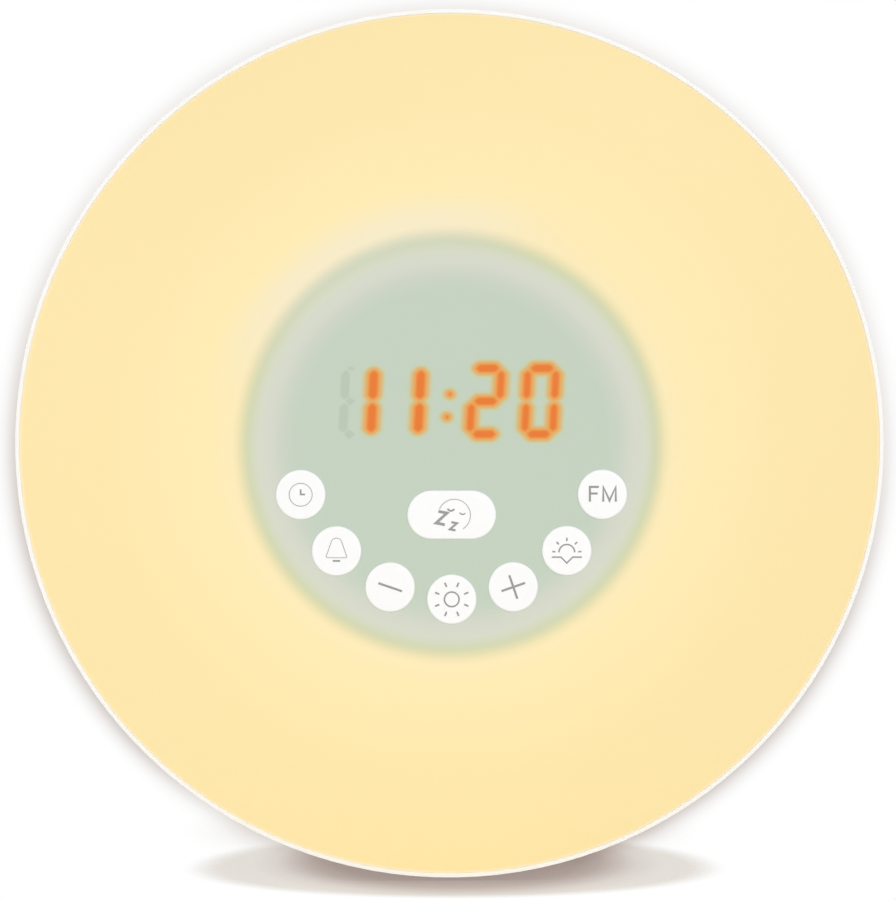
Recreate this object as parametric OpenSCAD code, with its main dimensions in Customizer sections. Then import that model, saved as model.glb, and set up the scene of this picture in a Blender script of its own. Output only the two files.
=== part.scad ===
// Sunrise alarm clock: a lit milky disc with a display and keys, on a bowl-shaped rear shell and a foot.
// Millimetres. +Z is up, the face looks along -Y, and the origin is on the table under the middle.

/* [Case] */
// Outer diameter of the white rim
rim_d = 170; // [160:1:185]
// Depth from the key tops to the rear face
case_depth = 88; // [84:0.5:96]
// Height of the rim's lowest point over the table
rim_lift = 1; // [0.8:0.1:3]
// Wall of the rear shell
shell_t = 2.4; // [2:0.1:2.8]
// Wall of the rim that shows round the diffuser
lip_t = 0.8; // [0.7:0.1:1.2]
// How far the rim stands past the diffuser's edge
lip_rise = 0.3; // [0:0.1:1]
// Straight band behind the rim's front edge
band_len = 4.7; // [3:0.1:8]
// Radius of the flat rear face
rear_flat_r = 45.65; // [44:0.05:49]
// Radius of the edge round the flat rear face
rear_edge_r = 4; // [3.2:0.1:6]
// Thickness of the ledge that the diffuser stands on
ledge_t = 2.5; // [2:0.1:3]
// Clearance between parts that are assembled by hand
fit_gap = 0.1; // [0.08:0.01:0.2]

/* [Diffuser] */
// Wall of the milky diffuser
skin_t = 2; // [1.6:0.1:2.4]
// Radius of the flat middle of the face
flat_r = 42; // [40:0.5:46]
// How far the face falls back between its flat middle and its edge
dome_drop = 7; // [5:0.5:9]
// Length of the straight skirt behind the diffuser's edge
skirt_len = 7.4; // [6:0.1:9]
// Number of snap tabs under the ledge
tab_count = 6; // [4:1:8]
// Width of a snap tab, in degrees round the skirt
tab_angle = 9; // [6:1:14]
// Thickness of a snap tab
tab_t = 1.7; // [1.4:0.1:1.9]
// How far a tab's nose reaches under the ledge
tab_nose = 0.7; // [0.5:0.1:0.9]

/* [Keys] */
// Diameter of a round key
key_d = 9.6; // [8.6:0.1:10]
// Length of the snooze key
snooze_len = 17.2; // [14:0.1:19]
// Width of the snooze key
snooze_w = 9.4; // [8:0.1:10]
// Radius of the arc that the round keys lie on
key_arc_r = 31.2; // [30:0.1:32]
// Height of that arc's centre over the face's centre
key_arc_y = 1.4; // [0:0.1:2]
// Angles of the side keys from the lowest key
key_angles = [22.5, 45.7, 69.6]; // [20:0.1:75]
// Height of the snooze key over the face's centre
snooze_y = -13.4; // [-14:0.1:-12.6]
// How far a key stands proud of the face
key_proud = 0.6; // [0.55:0.05:1]
// Travel of a key, to its switch's stop
key_travel = 0.5; // [0.3:0.05:0.5]
// Radial clearance of a key in its opening
key_gap = 0.1; // [0.05:0.01:0.1]
// Lip round the foot of a key, which keeps it in
key_lip = 1; // [0.7:0.1:1.2]
// Thickness of that lip
key_lip_t = 1; // [0.8:0.1:1.2]
// Edge break on a key's top
key_edge = 0.25; // [0.1:0.05:0.4]

/* [Display] */
// Height of a digit
digit_h = 14.5; // [12:0.1:15.5]
// Width of a digit
digit_w = 7.2; // [6.5:0.1:7.8]
// Width of a segment
segment_w = 1.75; // [1.2:0.05:2]
// Gap at each end of a segment
segment_gap = 0.22; // [0.1:0.02:0.4]
// Lean of the digits, in degrees
digit_lean = 3; // [0:0.5:6]
// Centres of the four digits, from the face's centre
digit_x = [-18.05, -8.95, 6.6, 17.2]; // [-19:0.05:19]
// Height of the digits' centre over the face's centre
display_y = 8.6; // [8:0.1:10]
// Colon's distance from the face's centre, and its drop below the digits' centre
colon_pos = [-0.6, -0.85]; // [-2:0.05:2]
// Distance between the colon's dots
colon_pitch = 4.4; // [3:0.1:6]
// Lean of the colon to the right
colon_lean = 7.5; // [0:0.5:10]
// Diameter of a colon dot
colon_d = 1; // [0.8:0.1:2]
// Width of the display module
module_w = 47; // [46.4:0.2:50]
// Height of the display module
module_h = 19; // [18:0.2:19.4]
// Depth of the display module
module_t = 8; // [7.5:0.1:8.5]
// Depth of the light wells in the module
segment_t = 0.6; // [0.4:0.1:1]

/* [Control unit] */
// Outer radius of the control housing, which shadows the middle of the face
housing_r = 41; // [40.6:0.1:41.6]
// Wall of the control housing
housing_t = 1.6; // [1.2:0.1:1.8]
// Thickness of the housing's front
housing_face_t = 1.5; // [1.2:0.1:1.8]
// Length of the housing
housing_len = 31.5; // [29:0.5:34]
// Air behind the diffuser's skin
skin_air = 0.3; // [0.2:0.1:0.6]
// Width of the housing's foot flange
flange_w = 5.2; // [5:0.1:5.6]
// Thickness of the circuit boards and of the flange between them
board_t = 1.6; // [1.2:0.1:1.8]
// Side of a push switch's square body
switch_w = 6; // [5:0.2:6.4]
// Height of a push switch's body
switch_h = 3.5; // [3.2:0.1:3.6]
// Radius of a switch's plunger
plunger_r = 1.7; // [1.4:0.1:1.9]
// Running clearance of the plunger in its switch
plunger_gap = 0.08; // [0.04:0.01:0.1]
// Length of the ribbon cable's cross-section
ribbon_w = 16; // [12:1:20]

/* [Lamp] */
// Wall of the white reflector
reflector_t = 1.6; // [1.2:0.1:2]
// Radius of the reflector's flat floor
floor_r = 70; // [69:0.5:72]
// Height of the reflector's rim over its floor
reflector_rise = 12.4; // [10:0.2:13]
// Radius of the opening in the reflector's floor
floor_hole_r = 24; // [18:1:30]
// Width of the ring of the LED board
led_board_w = 21.4; // [21:0.2:22]
// Number of LEDs in each of the two rings
led_count = 12; // [8:1:16]
// Side of an LED
led_w = 5; // [3.5:0.1:5]
// Height of an LED
led_h = 1.6; // [1:0.1:2]

/* [Main board] */
// Width of the main board
board_w = 88; // [84:1:90]
// Height of the main board
board_h = 58; // [56:1:60]
// Air between the main board's tallest part and the reflector
board_air = 5; // [4:0.5:7]
// Inset of the board's screws from its edges
board_inset = 5; // [4:0.5:6]

/* [Speaker] */
// Outer radius of the speaker's frame
speaker_r = 25; // [23:0.5:25.5]
// Depth of the speaker
speaker_depth = 18; // [15:0.5:22]
// Height of the speaker's centre over the case's axis
speaker_y = 8; // [7:0.5:9]
// Radius of the speaker's magnet
magnet_r = 14; // [11:0.5:16]
// Radius of a hole in the grille
grille_hole_r = 1.1; // [0.7:0.1:1.4]
// Pitch of the grille's rings
grille_pitch = 4.6; // [4:0.1:5.2]
// Number of rings in the grille
grille_rings = 4; // [2:1:4]

/* [Rear panel] */
// Side distance of the jack and the grommet from the middle
outlet_x = 20; // [18:0.5:22]
// Distance of their middles from the edge of the flat rear face
outlet_inset = 10.4; // [9.4:0.1:10.6]
// Radius of the jack's snout
jack_r = 4.9; // [4.5:0.1:5.2]
// Radius of the socket in the jack
socket_r = 2.8; // [2.6:0.1:3]
// Radius of the pin in the socket
socket_pin_r = 1; // [0.6:0.05:1.2]
// Depth of the socket
socket_depth = 9.5; // [8:0.5:10]
// Bore of the antenna grommet
grommet_bore_r = 1.25; // [0.8:0.05:1.5]
// Radius of the grommet in the shell
grommet_r = 3; // [2.5:0.1:3.5]

/* [Foot] */
// Width of the foot
foot_w = 64; // [62:1:72]
// Front edge of the foot, in front of the middle
foot_front = 14; // [13:0.5:18]
// Height of the foot's rear wall
foot_h = 22; // [21:0.5:24]
// Radius of the foot's rear corners
foot_corner_r = 9; // [5:0.5:10]
// Wall and floor of the foot
foot_t = 2.4; // [2:0.1:2.8]
// Air under the foot's floor
foot_lift = 0.8; // [0.6:0.1:1]
// Radius of a rubber pad
pad_r = 5; // [4:0.1:5]
// How far a pad is let into the foot
pad_sink = 0.6; // [0.4:0.1:0.8]
// Distance of the rear pads from the middle line
pad_x = 23.5; // [23:0.1:24]
// Distance of the front pads from the foot's round front
pad_front_inset = 6.5; // [6:0.1:7]
// Angle of a front pad off the middle line, round the foot's front
pad_front_angle = 26; // [24:1:28]
// Angle of a front screw off the middle line, round the foot's front
foot_screw_angle = 48; // [47:1:50]
// Distance of the rear pads from the foot's rear edge
pad_rear_inset = 6.5; // [6:0.1:7]

/* [Battery bay] */
// Width of the battery door between its tongues
door_w = 25; // [24:0.5:26]
// Length of the battery door
door_len = 25; // [24.5:0.5:26]
// How far a tongue reaches into its groove
tongue_w = 1.2; // [0.8:0.1:1.4]
// Thickness of a tongue
tongue_t = 0.9; // [0.7:0.1:1.1]
// Sliding clearance of the door in its rails
door_gap = 0.1; // [0.06:0.01:0.15]
// Radius of the coin cell
cell_r = 10; // [9:0.1:10]
// Thickness of the coin cell
cell_t = 3.2; // [2.5:0.1:3.2]
// Air between the battery holder and the shell over it
bay_air = 0.1; // [0.1:0.1:0.5]

/* [Fasteners] */
// Shank radius of the large screws
screw_r = 1.5; // [1.25:0.05:1.6]
// Shank radius of the small screws
small_screw_r = 0.9; // [0.8:0.05:1]
// Clearance of a shank in its moulded pilot hole
pilot_gap = 0.05; // [0.03:0.01:0.1]
// Wall round a pilot hole
boss_wall = 1.6; // [1.4:0.1:1.8]
// Length of the lamp's and the foot's screws
screw_len = 12; // [10:0.5:12]
// Length of the screws of the housing, the control board and the main board
small_screw_len = 6; // [5.5:0.5:6.5]
// Length of the speaker's screws
speaker_screw_len = 3; // [2.5:0.5:3.5]
// Room beyond a screw's tip in its pilot hole
screw_room = 1; // [0.5:0.1:1.5]

/* [Hidden] */
KEY_NAMES = ["clock", "alarm", "minus", "lamp", "plus", "sunrise", "radio"];

// Round shapes and the points along a curved outline
$fn = 96;
ARC_STEPS = 20;
EDGE_STEPS = 5;
// Overlap that lets a cut run clear of a face, and a union grip its neighbour
EPS = 0.5;

// Case, seen in section: r is the distance from the case's axis, z runs forward along it
rim_r = rim_d / 2;
axis_h = rim_lift + rim_r;
key_top_z = case_depth / 2;
rear_z = -case_depth / 2;
inner_rear_z = rear_z + shell_t;
skin_z = key_top_z - key_proud;
dome_edge_z = skin_z - dome_drop;
lip_z = dome_edge_z + lip_rise;
ledge_z = dome_edge_z - skirt_len;
bowl_z = lip_z - band_len;
bowl_h = bowl_z - rear_z - rear_edge_r;
bowl_step = rim_r - rear_flat_r;
// The bowl's side is one arc from the band to the rear edge, tangent to both
bowl_r = (pow(bowl_step, 2) + pow(bowl_h, 2) - pow(rear_edge_r, 2)) / (2 * (bowl_step - rear_edge_r));
bowl_x = rim_r - bowl_r;
rear_edge_angle = atan2(-bowl_h, rear_flat_r - bowl_x);
outlet_drop = sqrt(pow(rear_flat_r - outlet_inset, 2) - pow(outlet_x, 2));

// Diffuser
diffuser_r = rim_r - lip_t - fit_gap;
skirt_in_r = diffuser_r - skin_t;
dome_r = (pow(diffuser_r - flat_r, 2) + pow(dome_drop, 2)) / (2 * dome_drop);
ledge_in_r = skirt_in_r - 0.7;
tab_out_r = ledge_in_r - 2 * fit_gap;
tab_in_r = tab_out_r - tab_t;
tab_nose_z = ledge_z - ledge_t - fit_gap;
TAB_ROOT = 4;
TAB_TIP = 2.5;

// Control unit
key_r = key_d / 2;
housing_z = skin_z - skin_t - skin_air;
housing_face_in_z = housing_z - housing_face_t;
floor_z = housing_z - housing_len;
flange_r = housing_r + flange_w;
flange_screw_r = housing_r + flange_w / 2;
control_board_z = housing_z - module_t;
control_board_r = housing_r - housing_t - 6 * fit_gap;
key_lip_z = housing_face_in_z - fit_gap;
key_foot_z = key_lip_z - key_lip_t;
switch_top_z = control_board_z + switch_h;
plunger_top_z = key_foot_z - key_travel;
plunger_foot_z = switch_top_z - 1.6;
plunger_bore_z = plunger_foot_z - key_travel - 0.5;
STEM_R = 1.9;
small_boss_r = small_screw_r + boss_wall;
big_boss_r = screw_r + pilot_gap + boss_wall + 0.4;
control_posts = [[-31, 16], [31, 16], [-13.5, -18], [13.5, -18]];

// Display: the segments a to g of one digit run between six corners
segment_run_w = digit_w - segment_w;
segment_run_h = (digit_h - segment_w) / 2;
SEGMENT_ENDS = [
    [[-1, 2], [1, 2]], [[1, 2], [1, 0]], [[1, 0], [1, -2]], [[-1, -2], [1, -2]],
    [[-1, 0], [-1, -2]], [[-1, 2], [-1, 0]], [[-1, 0], [1, 0]]
];
LIT = [[1, 2], [1, 2], [0, 1, 6, 4, 3], [0, 1, 2, 3, 4, 5]];

// Lamp
led_board_in_r = flange_r + 4 * fit_gap;
led_board_out_r = led_board_in_r + led_board_w;
lamp_screw_r = led_board_in_r + led_board_w / 2;
led_rings = [lamp_screw_r - led_board_w / 4, lamp_screw_r + led_board_w / 4];
reflector_rim_r = tab_in_r - 5 * fit_gap;
reflector_under_z = floor_z - reflector_t;
LEAD_R = 0.7;
LEAD_SPLIT = 0.15;
LEAD_HOLE_R = 2.3;
led_lead_angle = 180;
// How far each pair of leads runs straight on, first from its plug and then from its other end
LED_LEAD_RUN = 10;
SPEAKER_LEAD_RUNS = [18, 5];
POWER_LEAD_RUNS = [19, 14];
BATTERY_LEAD_RUNS = [20, 26];

// Main board and what stands on it, each as x, y, width, height and thickness, or x, y, radius and height
CAPACITORS = [[-34, -14, 4, 9], [-34, -4, 3.2, 7], [34, -16, 4, 9]];
main_board_top_z = reflector_under_z - board_air - max([for (c = CAPACITORS) c[3]]);
main_board_z = main_board_top_z - board_t;
board_posts = [for (x = [-1, 1], y = [-1, 1])
    [x * (board_w / 2 - board_inset), y * (board_h / 2 - board_inset)]];
CHIPS = [[-6, -4, 12, 12, 1.6], [22, -12, 10, 7, 1.6], [14, 14, 6, 5, 1.4]];
CRYSTAL = [-20, -4, 10, 4, 3.4];
RIBBON_HEADER = [0, 18, 18, 4, 4];
// How far in from the board's edges the plugs stand, and how far the tuner stands from the lamp's plug
SPEAKER_PLUG_IN = 14;
LAMP_PLUG_IN = 9;
LOW_PLUG_IN = 6;
TUNER_OFF = 13;
SPEAKER_PLUG = [board_w / 2 - SPEAKER_PLUG_IN, 14, 8, 6, 5];
LAMP_PLUG = [LAMP_PLUG_IN - board_w / 2, 8, 6, 8, 5];
RADIO_CAN = [LAMP_PLUG[0] + TUNER_OFF, 12, 14, 12, 2.6];
POWER_PLUG = [12, LOW_PLUG_IN - board_h / 2, 8, 5, 5];
BATTERY_PLUG = [-12, LOW_PLUG_IN - board_h / 2, 8, 5, 5];

// Speaker
GASKET_T = 1;
speaker_frame_z = inner_rear_z + GASKET_T;
SPEAKER_FRAME_T = 1.2;
speaker_flange_z = speaker_frame_z + SPEAKER_FRAME_T;
magnet_h = speaker_depth * 0.42;
speaker_back_z = speaker_frame_z + speaker_depth - magnet_h;
speaker_screw_d = speaker_r + small_boss_r + 2 * fit_gap;
speaker_screws_at = [for (a = [45:90:315]) [speaker_screw_d * cos(a), speaker_y + speaker_screw_d * sin(a)]];
SPEAKER_RING = 4;
CONE_T = 0.5;

// Power jack, and the two ribs beside it as thickness, height and depth
JACK_END = 1.5;
JACK_SIDE = 0.7;
JACK_RIB = [1.6, 8, shell_t + 5];
JACK_RIB_X = jack_r + JACK_SIDE + fit_gap + JACK_RIB[0] / 2;
PIN_SETBACK = 0.6;

// Battery bay and foot, in the table's frame
foot_floor_z = foot_lift + foot_t;
HOLDER_WALL = 1.4;
HOLDER_TOP = 1.2;
HOLDER_FLANGE = 1;
RING_WALL = 2.2;
CONTACT_T = 0.3;
CONTACT_W = 4;
cell_z = foot_floor_z + 0.3;
holder_top_z = cell_z + cell_t + CONTACT_T + fit_gap + HOLDER_TOP;
holder_r = cell_r + fit_gap + HOLDER_WALL;
ring_r = holder_r + fit_gap + RING_WALL;
ring_top_z = cell_z + cell_t - 0.5;
// The bay lies as far forward as the bowl over it allows, and the foot's rear wall stands behind it
bay_y = bowl_clears_at(holder_top_z + bay_air) + holder_r;
foot_rear = bay_y + holder_r + fit_gap + foot_t;
door_front_y = foot_rear - door_len;
// The foot's front is half a cylinder about this depth
foot_round_y = foot_w / 2 - foot_front;
pad_points = [
    foot_front_at(foot_w / 2 - pad_front_inset, -pad_front_angle),
    foot_front_at(foot_w / 2 - pad_front_inset, pad_front_angle),
    [-pad_x, foot_rear - pad_rear_inset], [pad_x, foot_rear - pad_rear_inset]
];
SCREW_SEAT = 3;
foot_screw_round = foot_w / 2 - foot_t - big_boss_r - 1;
foot_screw_rear_x = door_w / 2 + tongue_w + big_boss_r + 1.3;
foot_screws_at = [
    foot_front_at(foot_screw_round, -foot_screw_angle), foot_front_at(foot_screw_round, foot_screw_angle),
    [-foot_screw_rear_x, pad_points[2][1] - pad_r - big_boss_r],
    [foot_screw_rear_x, pad_points[2][1] - pad_r - big_boss_r]
];

// Place at distance r from the middle of the foot's round front, at angle a off the middle line
function foot_front_at(r, a) = [r * sin(a), foot_round_y - r * cos(a)];

// Points of an arc about c from angle a0 to a1
function arc_points(c, r, a0, a1, n) =
    [for (i = [0:n]) c + r * [cos(a0 + (a1 - a0) * i / n), sin(a0 + (a1 - a0) * i / n)]];

// Distance of the bowl's surface from the axis at depth z, at t inside the outer surface
function bowl_at(z, t) = bowl_x + sqrt(pow(bowl_r - t, 2) - pow(z - bowl_z, 2));

// Height over the table of the bowl's underside at side distance x and depth y behind the middle
function underside(x, y) = axis_h - sqrt(pow(bowl_at(-y, 0), 2) - x * x);

// Depth behind the middle from which on the bowl's underside is higher than z over the table
function bowl_clears_at(z) = sqrt(pow(bowl_r, 2) - pow(axis_h - z - bowl_x, 2)) - bowl_z;

function key_angle(i) = i == 3 ? 0 : sign(i - 3) * key_angles[abs(i - 3) - 1];
function key_at(i) =
    [key_arc_r * sin(key_angle(i)), key_arc_y - key_arc_r * cos(key_angle(i))];
snooze_at = [0, snooze_y];

// Places its children in the face's frame: x to the right, y up, z forward out of the face
module upright() translate([0, 0, axis_h]) rotate([90, 0, 0]) children();

module at(p, z) translate([p[0], p[1], z]) children();

module stadium(length, width) {
    square([length - width, width], center = true);
    for (s = [-1, 1]) translate([s * (length - width) / 2, 0]) circle(d = width);
}

module block(b, z) translate([b[0] - b[2] / 2, b[1] - b[3] / 2, z]) cube([b[2], b[3], b[4]]);

// A pan-head screw that points along -z, with the underside of its head at z = 0
module screw(r, length) {
    head_r = r * 1.9;
    head_h = r * 1.3;
    slot = r * 0.35;
    difference() {
        union() {
            translate([0, 0, -length]) cylinder(r = r, h = length + EPS);
            cylinder(r1 = head_r, r2 = head_r * 0.85, h = head_h);
        }
        for (a = [0, 90]) rotate([0, 0, a])
            translate([-head_r * 0.6, -slot / 2, head_h * 0.4]) cube([head_r * 1.2, slot, head_h]);
    }
}

// A wire of radius r along the curve that four points steer
function bezier(p, t) =
    pow(1 - t, 3) * p[0] + 3 * pow(1 - t, 2) * t * p[1] + 3 * (1 - t) * t * t * p[2] + pow(t, 3) * p[3];
function bezier_way(p, t) =
    3 * pow(1 - t, 2) * (p[1] - p[0]) + 6 * (1 - t) * t * (p[2] - p[1]) + 3 * t * t * (p[3] - p[2]);
module wire(p, r) {
    rings = 12;
    sides = 8;
    points = [for (i = [0:rings])
        let (way = bezier_way(p, i / rings), side = cross(way, [0.31, 0.85, 0.42]),
             u = side / norm(side), v = cross(way / norm(way), u))
        for (a = [0:360 / sides:359]) bezier(p, i / rings) + r * (u * cos(a) + v * sin(a))];
    walls = [for (i = [0:rings - 1], k = [0:sides - 1])
        let (a = i * sides, b = a + sides, n = (k + 1) % sides)
        each [[a + k, b + k, b + n], [a + k, b + n, a + n]]];
    polyhedron(points, concat(
        [[for (k = [0:sides - 1]) k]], walls,
        [[for (k = [sides - 1:-1:0]) rings * sides + k]]));
}

// ---------- Case ----------

module front_diffuser() {
    dome_c = [flat_r, skin_z - dome_r];
    outer_a = asin((diffuser_r - flat_r) / dome_r);
    inner_a = asin((skirt_in_r - flat_r) / (dome_r - skin_t));
    profile = concat(
        [[0, skin_z]],
        arc_points(dome_c, dome_r, 90, 90 - outer_a, ARC_STEPS),
        [[diffuser_r, ledge_z], [skirt_in_r, ledge_z]],
        arc_points(dome_c, dome_r - skin_t, 90 - inner_a, 90, ARC_STEPS),
        [[0, skin_z - skin_t]]);
    tab = [
        [tab_in_r, tab_nose_z - TAB_TIP], [tab_out_r, tab_nose_z - TAB_TIP],
        [tab_out_r + tab_nose, tab_nose_z - 0.6], [tab_out_r + tab_nose, tab_nose_z],
        [tab_out_r, tab_nose_z], [tab_out_r, ledge_z + fit_gap],
        [skirt_in_r + EPS, ledge_z + fit_gap], [skirt_in_r + EPS, ledge_z + TAB_ROOT],
        [tab_in_r, ledge_z + TAB_ROOT]
    ];
    color([1, 0.93, 0.72]) upright() {
        difference() {
            rotate_extrude() polygon(profile);
            for (i = [0:6]) at(key_at(i), housing_z) cylinder(r = key_r + key_gap, h = 2 * skin_t);
            at(snooze_at, housing_z) linear_extrude(2 * skin_t)
                stadium(snooze_len + 2 * key_gap, snooze_w + 2 * key_gap);
        }
        for (i = [0:tab_count - 1]) rotate([0, 0, 90 + i * 360 / tab_count - tab_angle / 2])
            rotate_extrude(angle = tab_angle) polygon(tab);
    }
}

// The shell's outside as one solid, gap larger all over
module bowl_solid(gap) {
    upright() rotate_extrude() polygon(concat(
        [[0, rear_z - gap]],
        arc_points([rear_flat_r, rear_z + rear_edge_r], rear_edge_r + gap, -90, rear_edge_angle, EDGE_STEPS),
        arc_points([bowl_x, bowl_z], bowl_r + gap, rear_edge_angle, 0, ARC_STEPS),
        [[rim_r + gap, lip_z], [0, lip_z]]));
}

// The room inside the shell
module bowl_room() {
    room_top_a = asin((ledge_z - ledge_t - bowl_z) / (bowl_r - shell_t));
    upright() rotate_extrude() polygon(concat(
        [[0, inner_rear_z]],
        arc_points([rear_flat_r, rear_z + rear_edge_r], rear_edge_r - shell_t,
            -90, rear_edge_angle, EDGE_STEPS),
        arc_points([bowl_x, bowl_z], bowl_r - shell_t, rear_edge_angle, room_top_a, ARC_STEPS),
        [
            [ledge_in_r, ledge_z - ledge_t], [ledge_in_r, ledge_z], [diffuser_r + fit_gap, ledge_z],
            [diffuser_r + fit_gap, lip_z + EPS], [0, lip_z + EPS]
        ]));
}

function lamp_screw_at(k) = lamp_screw_r * [cos(45 + 90 * k), sin(45 + 90 * k)];

module shell_posts() {
    upright() {
        for (k = [0:3]) at(lamp_screw_at(k), rear_z)
            cylinder(r = big_boss_r, h = reflector_under_z - rear_z);
        for (p = board_posts) at(p, rear_z) cylinder(r = small_boss_r, h = main_board_z - rear_z);
        for (p = speaker_screws_at) at(p, rear_z) cylinder(r = small_boss_r, h = speaker_flange_z - rear_z);
        for (s = [-1, 1]) at([outlet_x + s * JACK_RIB_X, -outlet_drop], rear_z)
            translate([-JACK_RIB[0] / 2, -JACK_RIB[1] / 2, 0]) cube(JACK_RIB);
    }
    for (p = foot_screws_at) at(p, underside(p[0], p[1]) - EPS)
        cylinder(r = big_boss_r, h = screw_len + EPS);
}

function foot_screw_seat(p) = underside(p[0], p[1]) - SCREW_SEAT;

module shell_cuts() {
    upright() {
        for (k = [0:3]) at(lamp_screw_at(k), reflector_under_z - screw_len)
            cylinder(r = screw_r + pilot_gap, h = screw_len + EPS);
        for (p = board_posts) at(p, main_board_z - small_screw_len)
            cylinder(r = small_screw_r + pilot_gap, h = small_screw_len + EPS);
        for (p = speaker_screws_at) at(p, speaker_flange_z - speaker_screw_len - screw_room)
            cylinder(r = small_screw_r + pilot_gap, h = speaker_screw_len + screw_room + EPS);
        at([outlet_x, -outlet_drop], rear_z - EPS) cylinder(r = jack_r + fit_gap, h = shell_t + 2 * EPS);
        at([-outlet_x, -outlet_drop], rear_z - EPS) cylinder(r = grommet_r + fit_gap, h = shell_t + 2 * EPS);
        at([0, speaker_y], rear_z - EPS) grille_holes();
    }
    for (p = foot_screws_at) at(p, foot_screw_seat(p))
        cylinder(r = screw_r + pilot_gap, h = screw_len + screw_room);
    at([0, bay_y], 0) cylinder(r = LEAD_HOLE_R, h = underside(0, bay_y) + 2 * shell_t);
}

module grille_holes() {
    cylinder(r = grille_hole_r, h = shell_t + 2 * EPS);
    for (ring = [1:grille_rings], k = [0:6 * ring - 1]) rotate([0, 0, k * 60 / ring + 15 * ring])
        translate([ring * grille_pitch, 0, 0]) cylinder(r = grille_hole_r, h = shell_t + 2 * EPS);
}

module rear_shell() {
    color([0.96, 0.96, 0.95]) difference() {
        bowl_solid(0);
        difference() {
            bowl_room();
            shell_posts();
        }
        shell_cuts();
    }
}

// ---------- Foot and battery bay ----------

module foot_block(inset, z0, z1) {
    r = foot_corner_r - inset;
    x = foot_w / 2 - inset;
    y1 = foot_rear - inset;
    translate([0, 0, z0]) linear_extrude(z1 - z0) {
        intersection() {
            translate([0, foot_round_y]) circle(r = x);
            translate([-foot_w, foot_round_y - foot_w]) square([2 * foot_w, foot_w]);
        }
        translate([-x, foot_round_y]) square([2 * x, y1 - r - foot_round_y]);
        translate([-x + r, foot_round_y]) square([2 * (x - r), y1 - foot_round_y]);
        for (cx = [-x + r, x - r]) translate([cx, y1 - r]) circle(r = r);
    }
}

module stand_foot() {
    tongue_z = foot_lift + (foot_t - tongue_t) / 2;
    color([0.95, 0.95, 0.94]) difference() {
        foot_block(0, foot_lift, foot_h);
        difference() {
            foot_block(foot_t, foot_floor_z, foot_h - foot_t);
            for (p = foot_screws_at) at(p, 0) cylinder(r = big_boss_r, h = foot_h);
            // Ring that the battery holder stands in
            at([0, bay_y], 0) difference() {
                cylinder(r = ring_r, h = ring_top_z);
                cylinder(r = holder_r + fit_gap, h = foot_h);
            }
        }
        bowl_solid(fit_gap);
        for (p = foot_screws_at) {
            at(p, 0) cylinder(r = screw_r * 1.9 + 2 * fit_gap, h = foot_screw_seat(p));
            at(p, 0) cylinder(r = screw_r + 2 * fit_gap, h = foot_h + EPS);
        }
        for (p = pad_points) at(p, 0) cylinder(r = pad_r + fit_gap, h = foot_lift + pad_sink);
        // Door opening with its two grooves, open at the rear
        translate([-door_w / 2 - door_gap, door_front_y - door_gap, 0])
            cube([door_w + 2 * door_gap, door_len + 2, foot_floor_z]);
        translate([-door_w / 2 - tongue_w - door_gap, door_front_y - door_gap, tongue_z - door_gap])
            cube([door_w + 2 * tongue_w + 2 * door_gap, door_len + 2, tongue_t + 2 * door_gap]);
    }
}

module rubber_feet() {
    color([0.16, 0.16, 0.17]) for (p = pad_points) at(p, 0) {
        cylinder(r1 = pad_r - 0.4, r2 = pad_r, h = 0.4);
        translate([0, 0, 0.4]) cylinder(r = pad_r, h = foot_lift + pad_sink - 0.4);
    }
}

module battery_door() {
    tongue_z = foot_lift + (foot_t - tongue_t) / 2;
    color([0.95, 0.95, 0.94]) difference() {
        union() {
            translate([-door_w / 2, door_front_y, foot_lift]) cube([door_w, door_len, foot_t - door_gap]);
            translate([-door_w / 2 - tongue_w, door_front_y, tongue_z])
                cube([door_w + 2 * tongue_w, door_len - foot_t, tongue_t]);
        }
        // Finger grip
        for (k = [0:3]) translate([-5, foot_rear - 7 + k * 1.6, 0]) cube([10, 0.8, foot_lift + 0.5]);
    }
}

module battery_holder() {
    color([0.18, 0.18, 0.19]) at([0, bay_y], 0) difference() {
        union() {
            translate([0, 0, foot_floor_z]) cylinder(r = holder_r, h = holder_top_z - foot_floor_z);
            // Flange that rests on the foot's ring, and stops short of the rear wall
            intersection() {
                translate([0, 0, ring_top_z]) cylinder(r = ring_r - 0.4, h = HOLDER_FLANGE);
                translate([-ring_r, -ring_r, 0]) cube([2 * ring_r, ring_r + holder_r, axis_h]);
            }
        }
        translate([0, 0, foot_floor_z - EPS])
            cylinder(r = cell_r + fit_gap, h = holder_top_z - HOLDER_TOP - foot_floor_z + EPS);
        // Slot that the edge contact stands in
        translate([-CONTACT_W / 2 - fit_gap, cell_r - 1, foot_floor_z - EPS])
            cube([CONTACT_W + 2 * fit_gap, 1 + CONTACT_T + 2 * fit_gap, cell_t + 2 * EPS]);
    }
}

module coin_cell() {
    color([0.78, 0.79, 0.8]) at([0, bay_y], cell_z) {
        translate([0, 0, 0.3]) cylinder(r = cell_r, h = cell_t - 0.5);
        cylinder(r1 = cell_r - 0.3, r2 = cell_r, h = 0.3);
        translate([0, 0, cell_t - 0.2]) cylinder(r = cell_r - 1.6, h = 0.2);
    }
}

module battery_contact_plus() {
    color([0.82, 0.78, 0.6]) translate([-CONTACT_W / 2, bay_y + cell_r, cell_z + 0.4])
        cube([CONTACT_W, fit_gap + CONTACT_T, cell_t - 0.6]);
}

module battery_contact_minus() {
    color([0.82, 0.78, 0.6]) at([0, bay_y], cell_z + cell_t) {
        cylinder(r = CONTACT_W + 0.5, h = CONTACT_T);
        translate([-CONTACT_W / 3, 0, 0]) cube([CONTACT_W / 1.5, cell_r - 1.5, CONTACT_T]);
    }
}

// ---------- Control unit ----------

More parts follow.
